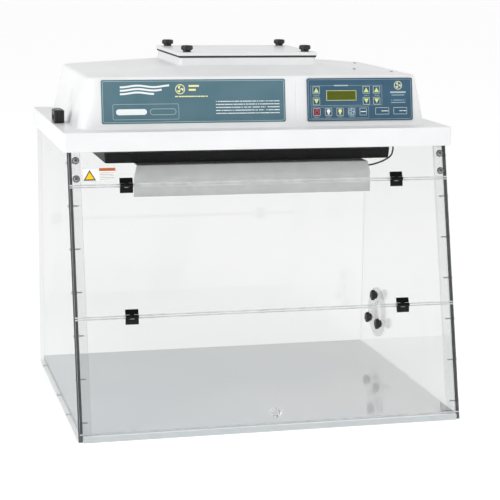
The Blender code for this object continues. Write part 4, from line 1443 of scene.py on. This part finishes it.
# %% Lamps
def tube_finish(name, colour, dark, clear=0.0):
    finish = Finish(name, IOR=1.47, Transmission_Weight=clear)
    x, _, _ = finish.axes()
    ends = abs(x).ease(0.165, 0.206)
    cloudy = finish.noise(25, 2)
    return finish.set(
        Base_Color=finish.blend(ends * (0.5 + 0.4 * cloudy), colour, dark),
        Roughness=0.07 + 0.05 * cloudy,
    )


refit("lamp_holder", "lamp_batten", "cabinet", "black_plastic", tray_black, 0.0008)
TUBE_Z, TUBE_HALF, CAP = 0.484, 0.2180, 0.010
phosphor = tube_finish("phosphor_glass", (0.80, 0.82, 0.83), (0.45, 0.45, 0.44))
quartz = tube_finish("quartz_glass", (0.90, 0.93, 0.95), (0.35, 0.36, 0.38), 0.8)
for name, node, y, radius, glass in (
    ("white_lamp", "white_lamp_tube", -0.0985, 0.0115, phosphor),
    ("uv_lamp", "uv_lamp_tube", -0.0725, 0.0080, quartz),
):
    bm = bmesh.new()
    place = Matrix.Translation((0, y, TUBE_Z)) @ Matrix.Rotation(math.pi / 2, 4, "Y")
    reach = TUBE_HALF - CAP
    glass_profile = [(radius * 0.6, -reach - 0.002), (radius - 0.0012, -reach), (radius, -reach + 0.0012)]
    turned(bm, glass_profile + [(r, -h) for r, h in glass_profile[::-1]], place, 40)
    for side in (-1, 1):
        cap = (
            (0.0004, reach - 0.001), (0.0002, reach + 0.0006), (0.0002, TUBE_HALF - 0.0022),
            (0.0014, TUBE_HALF - 0.0008), (0.0040, TUBE_HALF - 0.0004),
        )
        turned(bm, [(radius - inset, side * h) for inset, h in cap], place, 40, 1)
    settle(dress(name, bm, (glass, zinc), 40), "cabinet", "lamp_glass", node)
print("lamps done")

# %% [markdown]
# The supply lead comes down through a gland in the tray's flange, round the end of the shade
# and into the holder. It is clamped at both ends, so it can't swing. Its route is a smooth
# curve through nine points, and a bevelled curve object gives it a round section.

# %% Lamp lead
LEAD_ROUTE = (
    (0.3120, -0.1150, 0.5994), (0.3122, -0.1150, 0.5800), (0.3119, -0.1150, 0.5620),
    (0.3112, -0.1150, 0.5480), (0.3080, -0.1150, 0.5385), (0.2966, -0.1140, 0.5295),
    (0.2820, -0.1105, 0.5225), (0.2630, -0.1030, 0.5165), (0.2359, -0.0900, 0.5150),
)
curve = bpy.data.curves.new("lead_curve", "CURVE")
curve.dimensions = "3D"
curve.bevel_depth = 0.0018
curve.bevel_resolution = 5
curve.use_fill_caps = True
spline = curve.splines.new("BEZIER")
spline.bezier_points.add(len(LEAD_ROUTE) - 1)
for point, place in zip(spline.bezier_points, LEAD_ROUTE):
    point.co = place
    point.handle_left_type = point.handle_right_type = "AUTO"
spline.resolution_u = 8
curve.materials.append(cable_black)
lead = bpy.data.objects.new("lamp_cable", curve)
bpy.context.scene.collection.objects.link(lead)
settle(lead, "cabinet", "black_plastic", "lamp_lead")

bm = bmesh.new()
gland = [
    (0.0032, 0.0), (0.0045, 0.0006), (0.0045, 0.0030), (0.0036, 0.0052), (0.0026, 0.0110), (0.0021, 0.0135),
]
GLAND_TOP = Matrix.Translation((*LEAD_ROUTE[0][:2], 0.5998))
turned(bm, gland, GLAND_TOP @ Matrix.Rotation(math.pi, 4, "X"), 28)
settle(dress("lead_gland", bm, (cable_black,), 35), "cabinet", "black_plastic")
lead_length = sum(math.dist(*pair) for pair in zip(LEAD_ROUTE, LEAD_ROUTE[1:]))
print("lead:", round(lead_length * 1000), "mm from point to point")

# %% [markdown]
# ## Access port and the corner block
#
# A round clear cover closes the port in the right wall. A triangular acrylic block is
# cemented into the foot of the right strip, where it stiffens the corner.

# %% Port cover and corner block
refit("port_disc", "port_cover", "port_cover", "clear_acrylic", side_acrylic, SHEET_EASE, smooth=30)

BLOCK_FOOT, BLOCK_SIDE, BLOCK_INNER, BLOCK_TALL = 0.0128, 0.3965, 0.3695, 0.021
corner = [(BLOCK_SIDE, BLOCK_FOOT), (BLOCK_INNER, BLOCK_FOOT + BLOCK_TALL), (BLOCK_INNER, BLOCK_FOOT)]
bm = bmesh.new()
rings = []
for depth in (0.0165, 0.0235):
    rings.append(ring_of(bm, [(x, FRONT_FOOT + z * math.tan(FRONT_LEAN) + depth, z) for x, z in corner]))
skin(bm, rings)
bevel(bm, list(bm.edges), SHEET_EASE, 2, False)
mark_edges(bm, OUT_OF_FRONT)
settle(dress("corner_block", bm, (side_acrylic, bright_edge), 30), "cabinet", "clear_acrylic")
print("port and corner block done")

# %% [markdown]
# ## Floor, light and air
#
# The stage is as plain as a tabletop studio: one pale floor that runs out of sight, two big
# soft boxes, and a sky that is brighter near the horizon. A clear box shows what is behind
# and beside it more than its own surface, so an even, bright surround matters more than the
# lamps. Glossy faces that lean towards the viewer mirror the sky over the viewer's head. With
# a bright sky there they would go milky, so it is dim around that one direction, as it would
# be in a room where only the back is lit. The front box is kept out of mirrors as well.

# %% Stage
bm = bmesh.new()
FLOOR_REACH = 60
bmesh.ops.create_grid(bm, x_segments=1, y_segments=1, size=FLOOR_REACH)
paper_white = Finish("floor_paper", Roughness=0.9)
paper_white.set(Base_Color=(0.93, 0.93, 0.93), Emission_Color=(1.0, 1.0, 1.0), Emission_Strength=0.31)
floor = dress("floor", bm, (paper_white.material,))
floor.location.z = -0.0002


class Sky(Finish):
    """The world's own nodes, added in the same way as those of a finish."""

    def __init__(self, name):
        self.world = bpy.data.worlds.new(name)
        self.world.use_nodes = True
        self.tree = self.world.node_tree
        self.shader = self.tree.nodes["Background"]


OVER_THE_VIEWER = (0.20, -0.94, 0.27)
sky = Sky("studio")
bpy.context.scene.world = sky.world
way = sky.node("ShaderNodeTexCoord", {}, {}, "Generated")
upward = sky.node("ShaderNodeSeparateXYZ", {}, {0: way}, "Z")
grade = sky.node("ShaderNodeMapRange", {}, {0: upward, 1: 0.0, 2: 0.9, 3: 1.12, 4: 0.65})
near = sky.node("ShaderNodeVectorMath", {"operation": "DOT_PRODUCT"}, {0: way, 1: OVER_THE_VIEWER}, "Value")
sky.feed(sky.shader, {"Color": (1.0, 1.0, 1.0), "Strength": grade * near.ease(0.70, 0.93, 1.0, 0.12)})


def soft_box(name, place, target, size, watts, mirrored=True):
    light = bpy.data.lights.new(name, "AREA")
    light.shape = "RECTANGLE"
    light.size, light.size_y = size
    light.energy = watts
    lamp = bpy.data.objects.new(name, light)
    bpy.context.scene.collection.objects.link(lamp)
    lamp.location = place
    lamp.visible_glossy = lamp.visible_transmission = mirrored
    way = Vector(target) - Vector(place)
    lamp.rotation_euler = way.to_track_quat("-Z", "Y").to_euler()
    return lamp


soft_box("left_box", (-3.6, -0.9, 1.5), (0, 0, 0.5), (2.2, 1.8), 42)
soft_box("front_box", (0.6, -3.9, 2.7), (0, 0, 0.45), (3.0, 1.6), 80, mirrored=False)
print("stage set")
